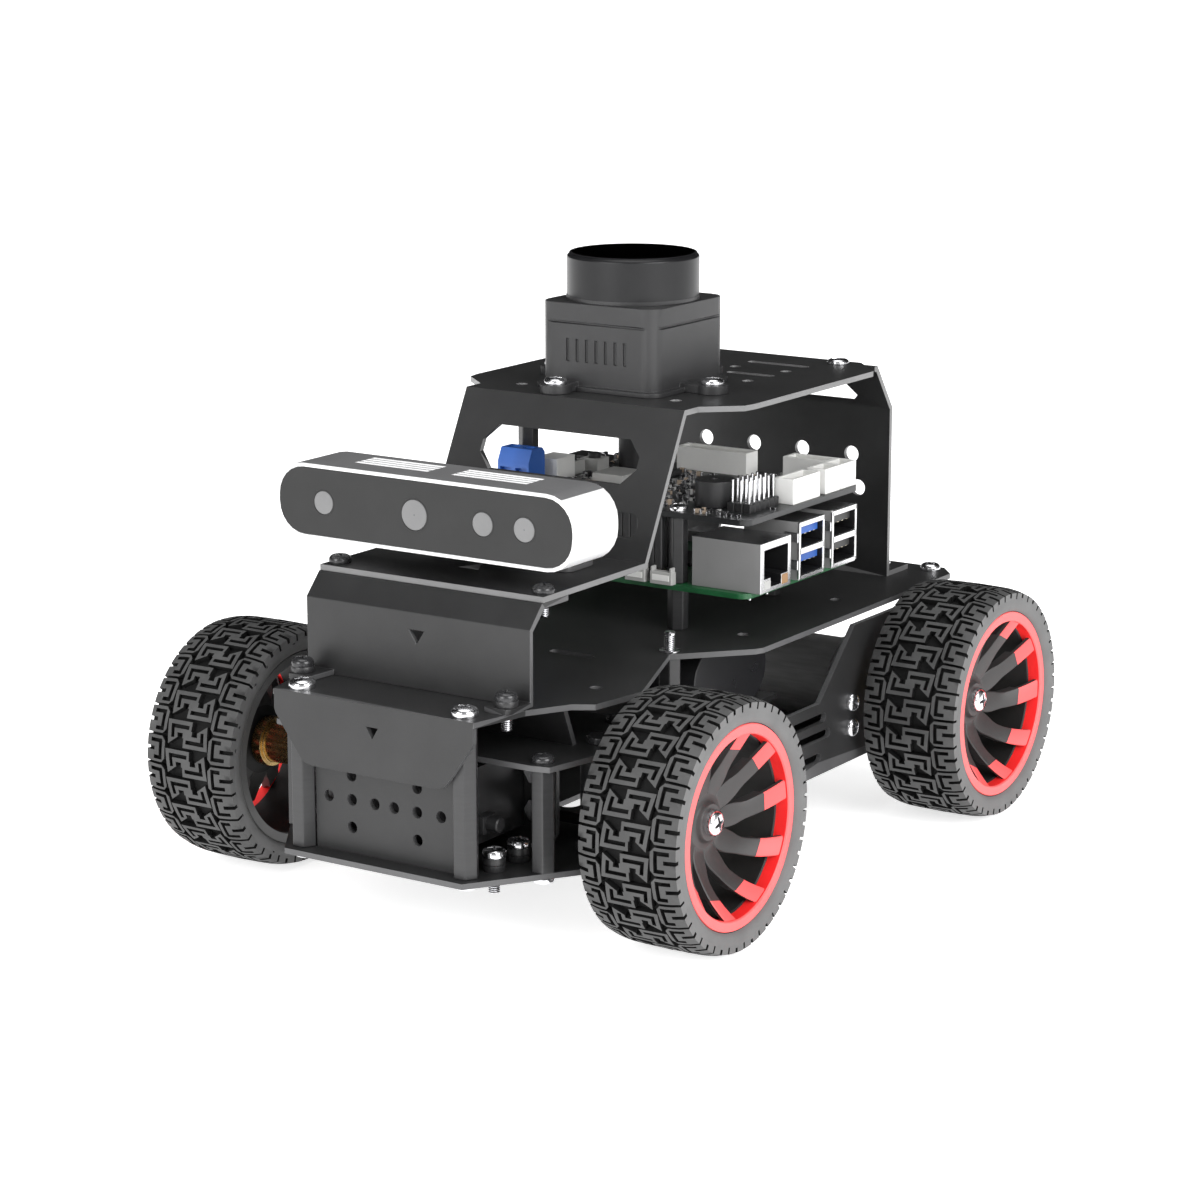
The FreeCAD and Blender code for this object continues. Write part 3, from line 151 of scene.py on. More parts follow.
BY_NODE = {
    "bottom_chassis_plate": POWDER, "steering_top_plate": POWDER, "main_deck": POWDER, "camera_bracket": POWDER,
    "cabin_shell": POWDER, "rear_panel": POWDER, "grille_panel": POWDER, "servo_bracket": POWDER, "battery_tray": POWDER,
    "camera_mount": POWDER, "hood_posts": POST, "deck_posts": POST, "steering_posts": POST, "kingpins": BLACK_STEEL,
    "board_standoffs": POST, "tie_rod": POST, "servo_case": PLASTIC, "servo_horn": PLASTIC, "knuckle_left": PLASTIC,
    "knuckle_right": PLASTIC, "battery_pack": WRAP, "pin_headers": PLASTIC, "buzzer": PLASTIC, "button_a": CHIP,
    "button_b": CHIP, "drive_motor_left": MOTOR, "drive_motor_right": MOTOR, "computer_board": BOARD_GREEN,
    "ethernet_jack": PLATED, "usb_ports": PLATED, "computer_chips": CHIP, "board_components": CHIP,
    "expansion_board": BOARD_BLACK, "terminal_block": BLUE, "white_connectors": WHITE, "button_bodies": GREY_HOUSING,
    "lidar_base": LIDAR, "lidar_window": LIDAR_TOP, "lidar_rotor": PLASTIC, "depth_camera_body": CAM_SHELL,
    "camera_front_glass": CAM_GLASS, "camera_lenses": LENS,
}
BEVEL = {"pin_headers": 0.12, "usb_ports": 0.12, "ethernet_jack": 0.2, "computer_chips": 0.1, "board_components": 0.2,
         "camera_lenses": 0.1, "expansion_board": 0.12, "computer_board": 0.12, "lidar_base": 0.3, "white_connectors": 0.15,
         "depth_camera_body": 0.35, "servo_case": 0.4, "battery_pack": 0.3, "servo_horn": 0.2, "camera_front_glass": 0.1}

for name, ob in NODES.items():
    if name in BY_NODE:
        ob.data.materials.clear()
        ob.data.materials.append(BY_NODE[name])
    elif name.startswith("hub_"):
        ob.data.materials.clear()
        ob.data.materials.append(BRASS)
    else:
        continue
    ob.data.polygons.foreach_set("use_smooth", [True] * len(ob.data.polygons))
    sheet = BY_NODE.get(name) is POWDER and name != "battery_tray"
    if sheet:
        # Faces whose inward ray runs further than a sheet is thick are cut edges; they take the lighter copy of the
        # powder coat as a painted highlight.
        ob.data.materials.append(ROOF_EDGE_PAINTED_HIGHLIGHT if name in ("cabin_shell", "rear_panel") else EDGE_PAINTED_HIGHLIGHT)
        bm = bmesh.new()
        bm.from_mesh(ob.data)
        tree = BVHTree.FromBMesh(bm)
        for f in bm.faces:
            c, nrm = f.calc_center_median(), f.normal
            hit = tree.ray_cast(c - nrm * 0.00003, -nrm)
            if hit[0] is not None and hit[3] > 0.0023:
                f.material_index = 1
        bm.to_mesh(ob.data)
        bm.free()
    if name in ("ethernet_jack", "usb_ports"):
        ob.data.materials.append(PORT_INSIDE_BLACK_AND_SHADE)
        ob.data.materials.append(JACK_FRONT_PAINTED_REFLECTION)
        for f in ob.data.polygons:
            x, y, z = [c / MM for c in f.center]
            z -= 73.74
            if name == "ethernet_jack":
                inside = -15.5 < x < -2.9 and 34.2 < y < 46.3 and 1.15 < z < 11.45
            else:
                inside = (abs(x + 27.9) < 6.0 or abs(x + 45.8) < 6.0) and 36.2 < y < 46.3 and (1.45 < z < 7.15 or 8.95 < z < 14.65)
            # Mouth faces take the near black: the jack's black insert, and painted shade in the USB mouths.
            if inside:
                f.material_index = 1
            # Front-facing faces take the flat grey painted reflection instead of the plated metal.
            elif f.normal[0] > 0.7:
                f.material_index = 2
    if name == "board_components":
        for m in (WHITE, GREY_HOUSING, TAN, PLATED):
            ob.data.materials.append(m)
        for f in ob.data.polygons:
            x, y, z = [c / MM for c in f.center]
            if -26.1 < x < -16.9 and -36.5 < y < -28.9:
                f.material_index = 1
            elif -26.1 < x < -14.9 and -16.1 < y < -5.9:
                f.material_index = 2
            elif -14.5 < x < -9.9 and -18.1 < y < -13.4:
                f.material_index = 3
            elif math.hypot(x + 48, y + 24) < 4.2 and f.normal[2] > 0.8:
                f.material_index = 4
    # Upward faces of the camera shell take the darker grey as painted shade.
    if name == "depth_camera_body":
        ob.data.materials.append(CAM_TOP_PAINTED_SHADE)
        for f in ob.data.polygons:
            if f.normal[2] > 0.8:
                f.material_index = 1
    w = ob.modifiers.new("weld", "WELD")
    w.merge_threshold = 0.00001
    flat = ob.modifiers.new("flat", "DECIMATE")
    flat.decimate_type = "DISSOLVE"
    flat.angle_limit = math.radians(0.3)
    flat.delimit = {"MATERIAL"}
    b = ob.modifiers.new("edges", "BEVEL")
    b.width = BEVEL.get(name, 0.28) * MM
    b.segments = 2
    b.limit_method = "ANGLE"
    b.angle_limit = math.radians(38)
    b.harden_normals = False
    b.use_clamp_overlap = True
    if sheet:
        b.material = -1
    if name == "depth_camera_body":
        b.material = 0
    wn = ob.modifiers.new("normals", "WEIGHTED_NORMAL")
    wn.weight = 80
    wn.keep_sharp = False


# -------------------------------------------------------------- mesh helpers
def make(name, verts, faces, mats, face_mats=None, smooth=True, angle=35.0, merge=0.0):
    me = bpy.data.meshes.new(name)
    me.from_pydata([tuple(v) for v in verts], [], faces)
    for m in mats:
        me.materials.append(m)
    if face_mats:
        me.polygons.foreach_set("material_index", face_mats)
    bm = bmesh.new()
    bm.from_mesh(me)
    if merge:
        bmesh.ops.remove_doubles(bm, verts=bm.verts, dist=merge)
    bmesh.ops.recalc_face_normals(bm, faces=bm.faces)
    for f in bm.faces:
        f.smooth = smooth
    lim = math.radians(angle)
    for e in bm.edges:
        if len(e.link_faces) == 2 and e.calc_face_angle(0.0) > lim:
            e.smooth = False
    bm.to_mesh(me)
    bm.free()
    ob = bpy.data.objects.new(name, me)
    bpy.context.scene.collection.objects.link(ob)
    return ob


class Build:
    """Collects solids in millimetres into one mesh with several materials."""

    def __init__(self):
        self.v, self.f, self.m, self.mats = [], [], [], []

    def mi(self, m):
        if m not in self.mats:
            self.mats.append(m)
        return self.mats.index(m)

    def add(self, verts, faces, m):
        base = len(self.v)
        k = self.mi(m)
        self.v += [Vector(p) * MM for p in verts]
        self.f += [tuple(base + i for i in f) for f in faces]
        self.m += [k] * len(faces)

    def box(self, x0, x1, y0, y1, z0, z1, m, c=0.15):
        """Box with chamfered vertical and top edges."""
        c = min(c, (x1 - x0) * 0.3, (y1 - y0) * 0.3, (z1 - z0) * 0.3)
        ring = lambda k, z: [(x0 + k, y0, z), (x1 - k, y0, z), (x1, y0 + k, z), (x1, y1 - k, z),
                             (x1 - k, y1, z), (x0 + k, y1, z), (x0, y1 - k, z), (x0, y0 + k, z)]
        top = [(x0 + c, y0 + c, z1), (x1 - c, y0 + c, z1), (x1 - c, y1 - c, z1), (x0 + c, y1 - c, z1)]
        vs = ring(c, z0) + ring(c, z1 - c) + top
        fs = [(i, (i + 1) % 8, 8 + (i + 1) % 8, 8 + i) for i in range(8)]
        fs += [(8, 9, 17, 16), (9, 10, 17), (10, 11, 18, 17), (11, 12, 18), (12, 13, 19, 18), (13, 14, 19),
               (14, 15, 16, 19), (15, 8, 16), (16, 17, 18, 19), (7, 6, 5, 4, 3, 2, 1, 0)]
        self.add(vs, fs, m)

    def turned(self, prof, axis, at, m, n=32, start=0.0):
        """Profile (radius, height) turned about an axis through a point. A zero radius closes the end."""
        vs, rows = [], []
        for r, h in prof:
            if r <= 1e-6:
                rows.append([len(vs)])
                vs.append((0, 0, h))
            else:
                rows.append(list(range(len(vs), len(vs) + n)))
                for i in range(n):
                    a = 2 * math.pi * i / n + start
                    vs.append((r * math.cos(a), r * math.sin(a), h))
        fs = []
        for a, b in zip(rows, rows[1:]):
            for i in range(n):
                j = (i + 1) % n
                if len(a) == 1 and len(b) == 1:
                    break
                if len(a) == 1:
                    fs.append((a[0], b[i], b[j]))
                elif len(b) == 1:
                    fs.append((a[i], a[j], b[0]))
                else:
                    fs.append((a[i], a[j], b[j], b[i]))
        if axis == "z":
            vs = [(x + at[0], y + at[1], z + at[2]) for x, y, z in vs]
        elif axis == "x":
            vs = [(z + at[0], x + at[1], y + at[2]) for x, y, z in vs]
        elif axis == "y":
            vs = [(y + at[0], z + at[1], x + at[2]) for x, y, z in vs]
        elif axis == "-y":
            vs = [(-y + at[0], -z + at[1], x + at[2]) for x, y, z in vs]
        elif axis == "-x":
            vs = [(-z + at[0], -x + at[1], y + at[2]) for x, y, z in vs]
        elif axis == "-z":
            vs = [(x + at[0], -y + at[1], -z + at[2]) for x, y, z in vs]
        self.add(vs, fs, m)

    def done(self, name, body, slot=None, angle=35.0, merge=0.0):
        ob = make(name, self.v, self.f, self.mats, self.m, True, angle, merge)
        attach(ob, body)
        return ob


# ------------------------------------------------------------------ screws
def cross_outline(w, r, n=4):
    """Points of a Phillips cross, half width w, tip radius r, in order."""
    pts = []
    for k in range(4):
        a = k * math.pi / 2
        c, s = math.cos(a), math.sin(a)
        for x, y in ((w, w), (r * 0.9, w * 0.72), (r, 0.0), (r * 0.9, -w * 0.72)):
            pass
        for x, y in ((r * 0.92, -w * 0.72), (r, 0.0), (r * 0.92, w * 0.72), (w, w)):
            pts.append((x * c - y * s, x * s + y * c))
    return pts


def pan_head(b, axis, at, R, H, m, dark, turn=0.3):
    """Domed pan head with a real cross recess, standing on 'at' along axis."""
    n = 16
    cr = R * 0.56
    cross = cross_outline(R * 0.13, cr)
    # rings from outside in: edge, side, shoulder, dome, ring round the cross, cross lip, cross floor
    rings = []
    angs = [math.atan2(y, x) for x, y in cross]
    order = sorted(range(n), key=lambda i: angs[i] % (2 * math.pi))
    cross = [cross[i] for i in order]
    angs = [angs[i] for i in order]
    prof = [(R * 0.985, 0.0), (R, H * 0.12), (R, H * 0.42), (R * 0.955, H * 0.62), (R * 0.85, H * 0.80), (R * 0.70, H * 0.92)]
    sub = 3
    fine = []
    for i in range(n):
        a0, a1 = angs[i], angs[(i + 1) % n]
        while a1 < a0:
            a1 += 2 * math.pi
        for k in range(sub):
            f = k / sub
            x = cross[i][0] * (1 - f) + cross[(i + 1) % n][0] * f
            y = cross[i][1] * (1 - f) + cross[(i + 1) % n][1] * f
            fine.append((a0 + (a1 - a0) * f, x, y))
    N = len(fine)
    vs = []
    for r, h in prof:
        for a, x, y in fine:
            vs.append((r * math.cos(a), r * math.sin(a), h))

    def dome(rr):
        return H * (1.0 - 0.16 * (rr / R) ** 2)
    for a, x, y in fine:
        rr = math.hypot(x, y)
        vs.append((x * 1.06, y * 1.06, dome(rr)))
    for a, x, y in fine:
        vs.append((x, y, dome(math.hypot(x, y)) - H * 0.06))
    for a, x, y in fine:
        vs.append((x * 0.55, y * 0.55, H * 0.42))
    vs.append((0, 0, H * 0.3))
    rows = len(prof) + 3
    fs = []
    for rrow in range(rows - 1):
        for i in range(N):
            j = (i + 1) % N
            fs.append((rrow * N + i, rrow * N + j, (rrow + 1) * N + j, (rrow + 1) * N + i))
    last = (rows - 1) * N
    for i in range(N):
        fs.append((last + i, last + (i + 1) % N, rows * N))
    fs.append(tuple(reversed(range(N))))
    ct, st = math.cos(turn), math.sin(turn)
    vs = [(x * ct - y * st, x * st + y * ct, z) for x, y, z in vs]
    if axis == "z":
        vs = [(x + at[0], y + at[1], z + at[2]) for x, y, z in vs]
    elif axis == "-z":
        vs = [(x + at[0], -y + at[1], -z + at[2]) for x, y, z in vs]
    elif axis == "y":
        vs = [(y + at[0], z + at[1], x + at[2]) for x, y, z in vs]
    elif axis == "-y":
        vs = [(-y + at[0], -z + at[1], x + at[2]) for x, y, z in vs]
    elif axis == "-x":
        vs = [(-z + at[0], -x + at[1], y + at[2]) for x, y, z in vs]
    ninner = 2 * N
    b.add(vs, fs[:-N - 1 - N], m)
    base = len(b.v) - len(vs)
    # Recess faces take the 'dark' material; for the silver screws that is the darker steel, painted shade in the cross
    # recess.
    k = b.mi(dark)
    for f in fs[-N - 1 - N:-1]:
        b.f.append(tuple(base + i for i in f))
        b.m.append(k)
    b.f.append(tuple(base + i for i in fs[-1]))
    b.m.append(b.mi(m))


def thread(b, at, r, z0, z1, m, pitch=0.5, axis="z"):
    """Ridged screw end between two heights."""
    prof = [(0.0, z0), (r * 0.8, z0), (r, z0 + 0.25)]
    z = z0 + 0.25
    while z + pitch < z1:
        prof += [(r * 0.86, z + pitch * 0.5), (r, z + pitch)]
        z += pitch
    prof += [(r, z1)]
    b.turned(prof, axis, at, m, n=20)


def near(vec, k=3):
    return tuple(round(c / MM, k) for c in vec)


silver = Build()
# Darker copy of the zinc steel for the screws' cross recesses: painted shade in the recess.
RECESS_PAINTED_SHADE = mat("screw_recess_painted_shade", (0.22, 0.22, 0.23), rough=0.35, metal=1.0, bump=(1500, 0.05))
DECK = 61.0
for s in (1, -1):
    pan_head(silver, "z", (103.4, 25 * s, DECK), 3.5, 2.5, STEEL, RECESS_PAINTED_SHADE, 0.5 + s)
    pan_head(silver, "z", (-103.8, 43 * s, DECK), 2.9, 2.2, STEEL, RECESS_PAINTED_SHADE, 0.2 + s)
    pan_head(silver, "z", (-95.6, 31 * s, DECK + 1.5), 2.9, 2.2, STEEL, RECESS_PAINTED_SHADE, 0.9 * s)
    silver.turned([(0, DECK + 0.05), (2.75, DECK), (2.9, DECK + 0.1), (2.9, DECK + 0.4), (2.75, DECK + 0.5), (1.5, DECK + 0.5)], "z", (20.7, 31.9 * s, 0), STEEL, 32)
    thread(silver, (20.7, 31.9 * s, 0), 1.5, DECK + 0.3, DECK + 5.0, STEEL)
    silver.turned([(1.5, DECK + 5.0), (1.2, DECK + 5.4), (0.0, DECK + 5.4)], "z", (20.7, 31.9 * s, 0), STEEL, 20)
    pan_head(silver, "z", (-70.3, 30 * s, 124.75), 3.1, 1.6, STEEL, RECESS_PAINTED_SHADE, 0.7 * s)
    for x, y in ((95.0, 27.5), (85.0, 27.9)):
        pan_head(silver, "z", (x, y * s, 23.7), 3.1, 2.2, STEEL, RECESS_PAINTED_SHADE, x * s)
        silver.turned([(0, 20.0), (2.8, 20.0), (2.9, 20.2), (2.9, 21.7), (2.7, 21.8), (2.9, 21.9), (2.9, 23.5), (2.8, 23.7), (0, 23.7)], "z", (x, y * s, 0), POST, 28)
        thread(silver, (x, y * s, 0), 1.5, 14.3, 18.6, STEEL)
    for x, y in ((103.4, 25.0), (88.9, 38.1), (47.5, 33.0), (20.7, 31.9), (-103.8, 43.0)):
        pan_head(silver, "-z", (x, y * s, 18.5), 2.9, 1.7, STEEL, RECESS_PAINTED_SHADE, x * s)
    for z in (29.4, 39.3):
        pan_head(silver, "-x", (67.2, 24.75 * s, z), 2.7, 2.2, STEEL, RECESS_PAINTED_SHADE, z)
        silver.turned([(0.0, 0.0), (3.05, 0.0), (3.18, 0.2), (3.18, 2.2), (3.0, 2.4), (1.5, 2.4), (1.5, 2.8), (0.0, 2.8)], "x", (71.2, 24.75 * s, z), STEEL, 6)
    for z in (35.5, 28.3):
        pan_head(silver, "y" if s > 0 else "-y", (-44.7, 50 * s, z), 2.6, 1.9, STEEL, RECESS_PAINTED_SHADE, z)
LUGS = ((24.0, -9.0), (-24.0, 9.0), (2.0, 26.4), (-2.0, -26.4))
LX = -10.8
for dx, dy in LUGS:
    pan_head(silver, "z", (LX + dx, dy, 127.15), 3.1, 1.7, STEEL, RECESS_PAINTED_SHADE, dx)
for x in (-2.3, -51.3):
    for y in (20.0, -38.0):
        pan_head(silver, "z", (x, y, 93.4), 2.5, 1.9, STEEL, RECESS_PAINTED_SHADE, x)
thread(silver, (63.6, 3.5, 0), 1.1, 88.8, 93.45, STEEL)
ob = silver.done("screws_silver", "chassis", "steel")
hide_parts("silver_screws")

black = Build()
for s in (1, -1):
    pan_head(black, "z", (94.95, 31.5 * s, 64.1), 2.9, 2.2, BLACK_STEEL, BLACK_STEEL, 0.4)
    black.turned([(0, 62.5), (2.9, 62.5), (3.0, 62.65), (3.0, 63.95), (2.9, 64.1), (0, 64.1)], "z", (94.95, 31.5 * s, 0), POST, 28)
    pan_head(black, "z", (78.7, 31.5 * s, 87.85), 2.9, 2.2, BLACK_STEEL, BLACK_STEEL, 0.8)
    pan_head(black, "z", (88.9, 38.1 * s, 48.0), 2.9, 2.0, BLACK_STEEL, BLACK_STEEL, 0.1)
    pan_head(black, "z", (47.5, 33.0 * s, 48.0), 2.9, 2.0, BLACK_STEEL, BLACK_STEEL, 1.1)
    for x, y, z1 in ((94.95, 31.5 * s, 59.5), (78.7, 31.5 * s, 84.85)):
        silver_end = [(0.0, z1 - 3.2), (1.2, z1 - 3.2), (1.5, z1 - 2.9)]
        z = z1 - 2.9
        while z < z1 - 0.5:
            silver_end += [(1.28, z + 0.25), (1.5, z + 0.5)]
            z += 0.5
        black.turned(silver_end + [(1.5, z1 + 0.1)], "z", (x, y, 0), STEEL, 20)
ob = black.done("screws_black", "chassis", "black_steel")
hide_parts("black_screws")

# -------------------------------------------------------------------- wheels
TR = 32.5
Y0, Y1 = 54.0, 82.1
YC = 0.5 * (Y0 + Y1)
PITCHES = 26
PITCH = 2 * math.pi * TR / PITCHES
EDGE_V = 13.9
TOP, SLOT_H, BASE = 0.0, -1.25, -1.75
SIDE_R = 29.35


def crown(v):
    a = abs(v)
    if a < 8.0:
        return 0.15 * (a / 8.0) ** 2
    return 0.15 + 1.05 * ((a - 8.0) / 5.9) ** 2


def thick(path, w, cut=0.0):
    """Outline of a mitred stroke of half width w."""
    P = [Vector(p) for p in path]
    n = len(P)
    left, right = [], []
    for i in range(n):
        d0 = (P[i] - P[max(0, i - 1)]) if i else (P[1] - P[0])
        d1 = (P[min(n - 1, i + 1)] - P[i]) if i < n - 1 else (P[-1] - P[-2])
        d0.normalize()
        d1.normalize()
        n0, n1 = Vector((-d0[1], d0[0])), Vector((-d1[1], d1[0]))
        m = (n0 + n1).normalized()
        m = m / max(0.4, m.dot(n0))
        left.append(P[i] + m * w)
        right.append(P[i] - m * w)
    if cut:
        d = (P[1] - P[0]).normalized()
        left[0] = left[0] + d * cut
    return [tuple(p) for p in left + right[::-1]]


def inside(p, poly):
    x, y = p
    hit = False
    n = len(poly)
    for i in range(n):
        x1, y1 = poly[i]
        x2, y2 = poly[(i + 1) % n]
        if (y1 > y) != (y2 > y) and x < (x2 - x1) * (y - y1) / (y2 - y1) + x1:
            hit = not hit
    return hit


def turned_half(poly):
    return [(-a, -b) for a, b in poly]


def tread_plan():
    raised, slots = [], []
    arm = [(-4.55, 2.75), (-5.15, -1.92), (1.15, -1.92)]
    raised.append(thick(arm, 1.62, 1.7))
    slots.append(thick([(-4.75, 1.1), (-5.15, -1.92), (0.35, -1.92)], 0.52))
    raised.append([(-1.5, -1.0), (1.5, -1.0), (1.5, 1.0), (-1.5, 1.0)])
    off = 2.95
    hu = 3.58
    raised.append([(15.5, off - hu), (15.5, off + hu), (8.4, off + hu), (7.25, off + hu - 1.25), (7.25, off - hu + 1.25), (8.4, off - hu)])
    slots.append(thick([(11.1, off - 2.35), (8.75, off - 2.35), (8.75, off + 2.2), (12.3, off + 2.2)], 0.52))
    slots.append(thick([(10.9, off - 0.05), (15.5, off - 0.05)], 0.52))
    raised += [turned_half(p) for p in list(raised) if p is not raised[1]]
    slots += [turned_half(p) for p in list(slots)]
    return raised, slots


def tread_cell():
    raised, slots = tread_plan()
    shift = lambda poly, d: [(a, b + d) for a, b in poly]
    rs = [shift(p, k * PITCH) for p in raised for k in (-1, 0, 1)]
    ss = [shift(p, k * PITCH) for p in slots for k in (-1, 0, 1)]
    H = PITCH / 2
    verts, edges = [], []

    def ring(pts, closed=True):
        b = len(verts)
        verts.extend(Vector(p) for p in pts)
        n = len(pts)
        for i in range(n if closed else n - 1):
            edges.append((b + i, b + (i + 1) % n))
    ring([(-EDGE_V, -H), (EDGE_V, -H), (EDGE_V, H), (-EDGE_V, H)])
    for k in range(1, 5):
        y = -H + PITCH * k / 5
        ring([(-EDGE_V, y), (EDGE_V, y)], False)
    for x in (-11.6, -9.6, 9.6, 11.6):
        ring([(x, -H), (x, H)], False)
    for p in rs + ss:
        if min(q[1] for q in p) < H and max(q[1] for q in p) > -H:
            ring(p)
    vo, eo, fo = delaunay_2d_cdt(verts, edges, [], 0, 1e-4)[:3]
    tris = []
    for f in fo:
        cx = sum(vo[i][0] for i in f) / len(f)
        cy = sum(vo[i][1] for i in f) / len(f)
        if abs(cx) > EDGE_V or abs(cy) > H:
            continue
        area = 0.0
        for i in range(len(f)):
            a, b = vo[f[i]], vo[f[(i + 1) % len(f)]]
            area += a[0] * b[1] - a[1] * b[0]
        if abs(area) < 1e-7:
            continue
        f = tuple(f) if area > 0 else tuple(reversed(f))
        if any(inside((cx, cy), p) for p in rs):
            lev = SLOT_H if any(inside((cx, cy), p) for p in ss) else TOP
        else:
            lev = BASE
        tris.append((f, lev))
    return vo, tris


def tyre_mesh(side):
    b = Build()
    vo, tris = tread_cell()
    owner = {}
    for t, (f, lev) in enumerate(tris):
        for i in range(len(f)):
            owner[(f[i], f[(i + 1) % len(f)])] = t
    out = {}

    def wrap(p, h, turn):
        r = h if h > 5 else TR - crown(p[0]) + h
        a = (p[1] + turn) / TR
        return (r * math.cos(a), p[0], r * math.sin(a))
    faces = []
    for f, lev in tris:
        # Groove and slot floors and their walls take the near-black rubber as painted shade.
        faces.append(([(i, lev) for i in f], RUBBER if lev == TOP else GROOVE_PAINTED_SHADE))
        for i in range(len(f)):
            a, c = f[i], f[(i + 1) % len(f)]
            o = owner.get((c, a))
            if o is not None:
                lo = tris[o][1]
                if lo < lev - 0.01:
                    faces.append(([(a, lev), (a, lo), (c, lo), (c, lev)], GROOVE_PAINTED_SHADE))
            elif abs(abs(vo[a][0]) - EDGE_V) < 1e-3 and abs(abs(vo[c][0]) - EDGE_V) < 1e-3:
                faces.append(([(a, lev), (a, SIDE_R), (c, SIDE_R), (c, lev)], SIDEWALL))
    for k in range(PITCHES):
        for m in (RUBBER, GROOVE_PAINTED_SHADE, SIDEWALL):
            idx, vs, fs = {}, [], []
            for pts, fm in faces:
                if fm is not m:
                    continue
                row = []
                for key in pts:
                    if key not in idx:
                        idx[key] = len(vs)
                        vs.append(wrap(vo[key[0]], key[1], k * PITCH))
                    row.append(idx[key])
                fs.append(tuple(row))
            b.add(vs, fs, m)
    for sg in (1, -1):
        prof = [(SIDE_R, EDGE_V), (28.6, EDGE_V + 0.1), (27.3, EDGE_V + 0.02), (26.5, EDGE_V - 0.35), (26.1, EDGE_V - 0.9)]
        b.turned([(r, y * sg) for r, y in prof], "y", (0, 0, 0), SIDEWALL, 180)
    return b


def rim_mesh():
    """Ten swept spokes, concave dish, red outer ring and red spoke tips. y is measured from the tyre's centre plane."""
    b = Build()
    n = 120
    yo = Y1 - YC - 0.9
    # ring: red face and lip
    ring = [(26.05, yo - 0.5), (25.85, yo), (23.6, yo), (23.3, yo - 0.3)]
    b.turned([(r, y) for r, y in ring], "y", (0, 0, 0), RED, n)
    # The red ring's inner wall takes the darker red as painted shade.
    b.turned([(23.3, yo - 0.3), (23.3, yo - 3.4), (23.3, yo - 3.6)], "y", (0, 0, 0), RED_INNER_PAINTED_SHADE, n)
    # The barrel inside the red ring takes the darker plastic as painted shade.
    b.turned([(23.3, yo - 3.6), (22.9, yo - 3.9), (23.1, yo - 8.0), (23.3, Y0 - YC + 1.6)], "y", (0, 0, 0), RIM_INSIDE_PAINTED_SHADE, n)
    b.turned([(23.3, Y0 - YC + 1.6), (23.6, Y0 - YC + 0.9), (25.9, Y0 - YC + 0.75), (26.05, Y0 - YC + 1.0)], "y", (0, 0, 0), RIM_LIP, n)
    b.turned([(26.05, Y0 - YC + 1.3), (26.05, yo - 0.5)], "y", (0, 0, 0), RIM_INSIDE_PAINTED_SHADE, n)
    hubf = 72.6 - YC

    def dish(r):
        f = max(0.0, (r - 7.0) / 16.3)
        return hubf - 1.5 + 9.4 * f ** 1.55

    def width(r):
        gap_free = 2 * math.pi * r / 10
        if r <= 9.2:
            return gap_free
        f = min(1.0, (r - 9.2) / 5.0)
        w = gap_free * (1 - f) + 4.5 * f if f < 1 else 4.5 + 0.6 * (r - 14.2) / 9.0
        return min(w, gap_free)

    def sweep(r):
        return -0.30 * ((r - 7.0) / 16.3) ** 1.4
    RED_R = 18.9
    radii = [7.0, 8.2, 9.2, 10.0, 11.0, 12.2, 13.6, 15.0, 16.5, 17.8, 18.88, 18.9, 20.2, 21.8, 22.8, 23.35]
    for k in range(10):
        th = 2 * math.pi * k / 10
        vs, fs = [], []
        for r in radii:
            w = width(r) * 0.5
            yt = dish(r)
            red = r > 20.6
            depth = 3.0 if r < 18.89 else 1.3
            c = 0.28
            for off, dy in ((-w, -depth), (-w, -c), (-w + c, 0.0), (w - c, 0.0), (w, -c), (w, -depth)):
                a = th + sweep(r) + off / r
                lift = 0.0
                vs.append((r * math.cos(a), yt + dy + lift, r * math.sin(a)))
        for i in range(len(radii) - 1):
            for j in range(5):
                q = i * 6 + j
                fs.append((i, j, (q, q + 1, q + 7, q + 6)))
            q = i * 6
            fs.append((i, 5, (q + 5, q, q + 6, q + 11)))
        b.add(vs, [f for i, j, f in fs if radii[i] < RED_R or j == 5], RIM)
        b.add(vs, [f for i, j, f in fs if radii[i] >= RED_R and j in (1, 2, 3)], RED)
        b.add(vs, [f for i, j, f in fs if radii[i] >= RED_R and j in (0, 4)], RIM)
    # The cone behind the spokes takes the darker plastic as painted shade.
    b.turned([(9.2, dish(9.2) - 3.0), (7.2, dish(7.2) - 3.2), (2.1, 67.0 - YC)], "y", (0, 0, 0), RIM_INSIDE_PAINTED_SHADE, 60)
    b.turned([(7.05, dish(7.0)), (5.6, dish(7.0) + 0.1), (5.1, dish(7.0) + 0.5), (4.9, hubf - 0.3), (4.6, hubf), (2.0, hubf)], "y", (0, 0, 0), RIM, 60)
    return b


def wheel_screw_mesh():
    b = Build()
    pan_head(b, "y", (0, 72.6 - YC, 0), 3.5, 2.6, STEEL, RECESS_PAINTED_SHADE, 0.4)
    return b


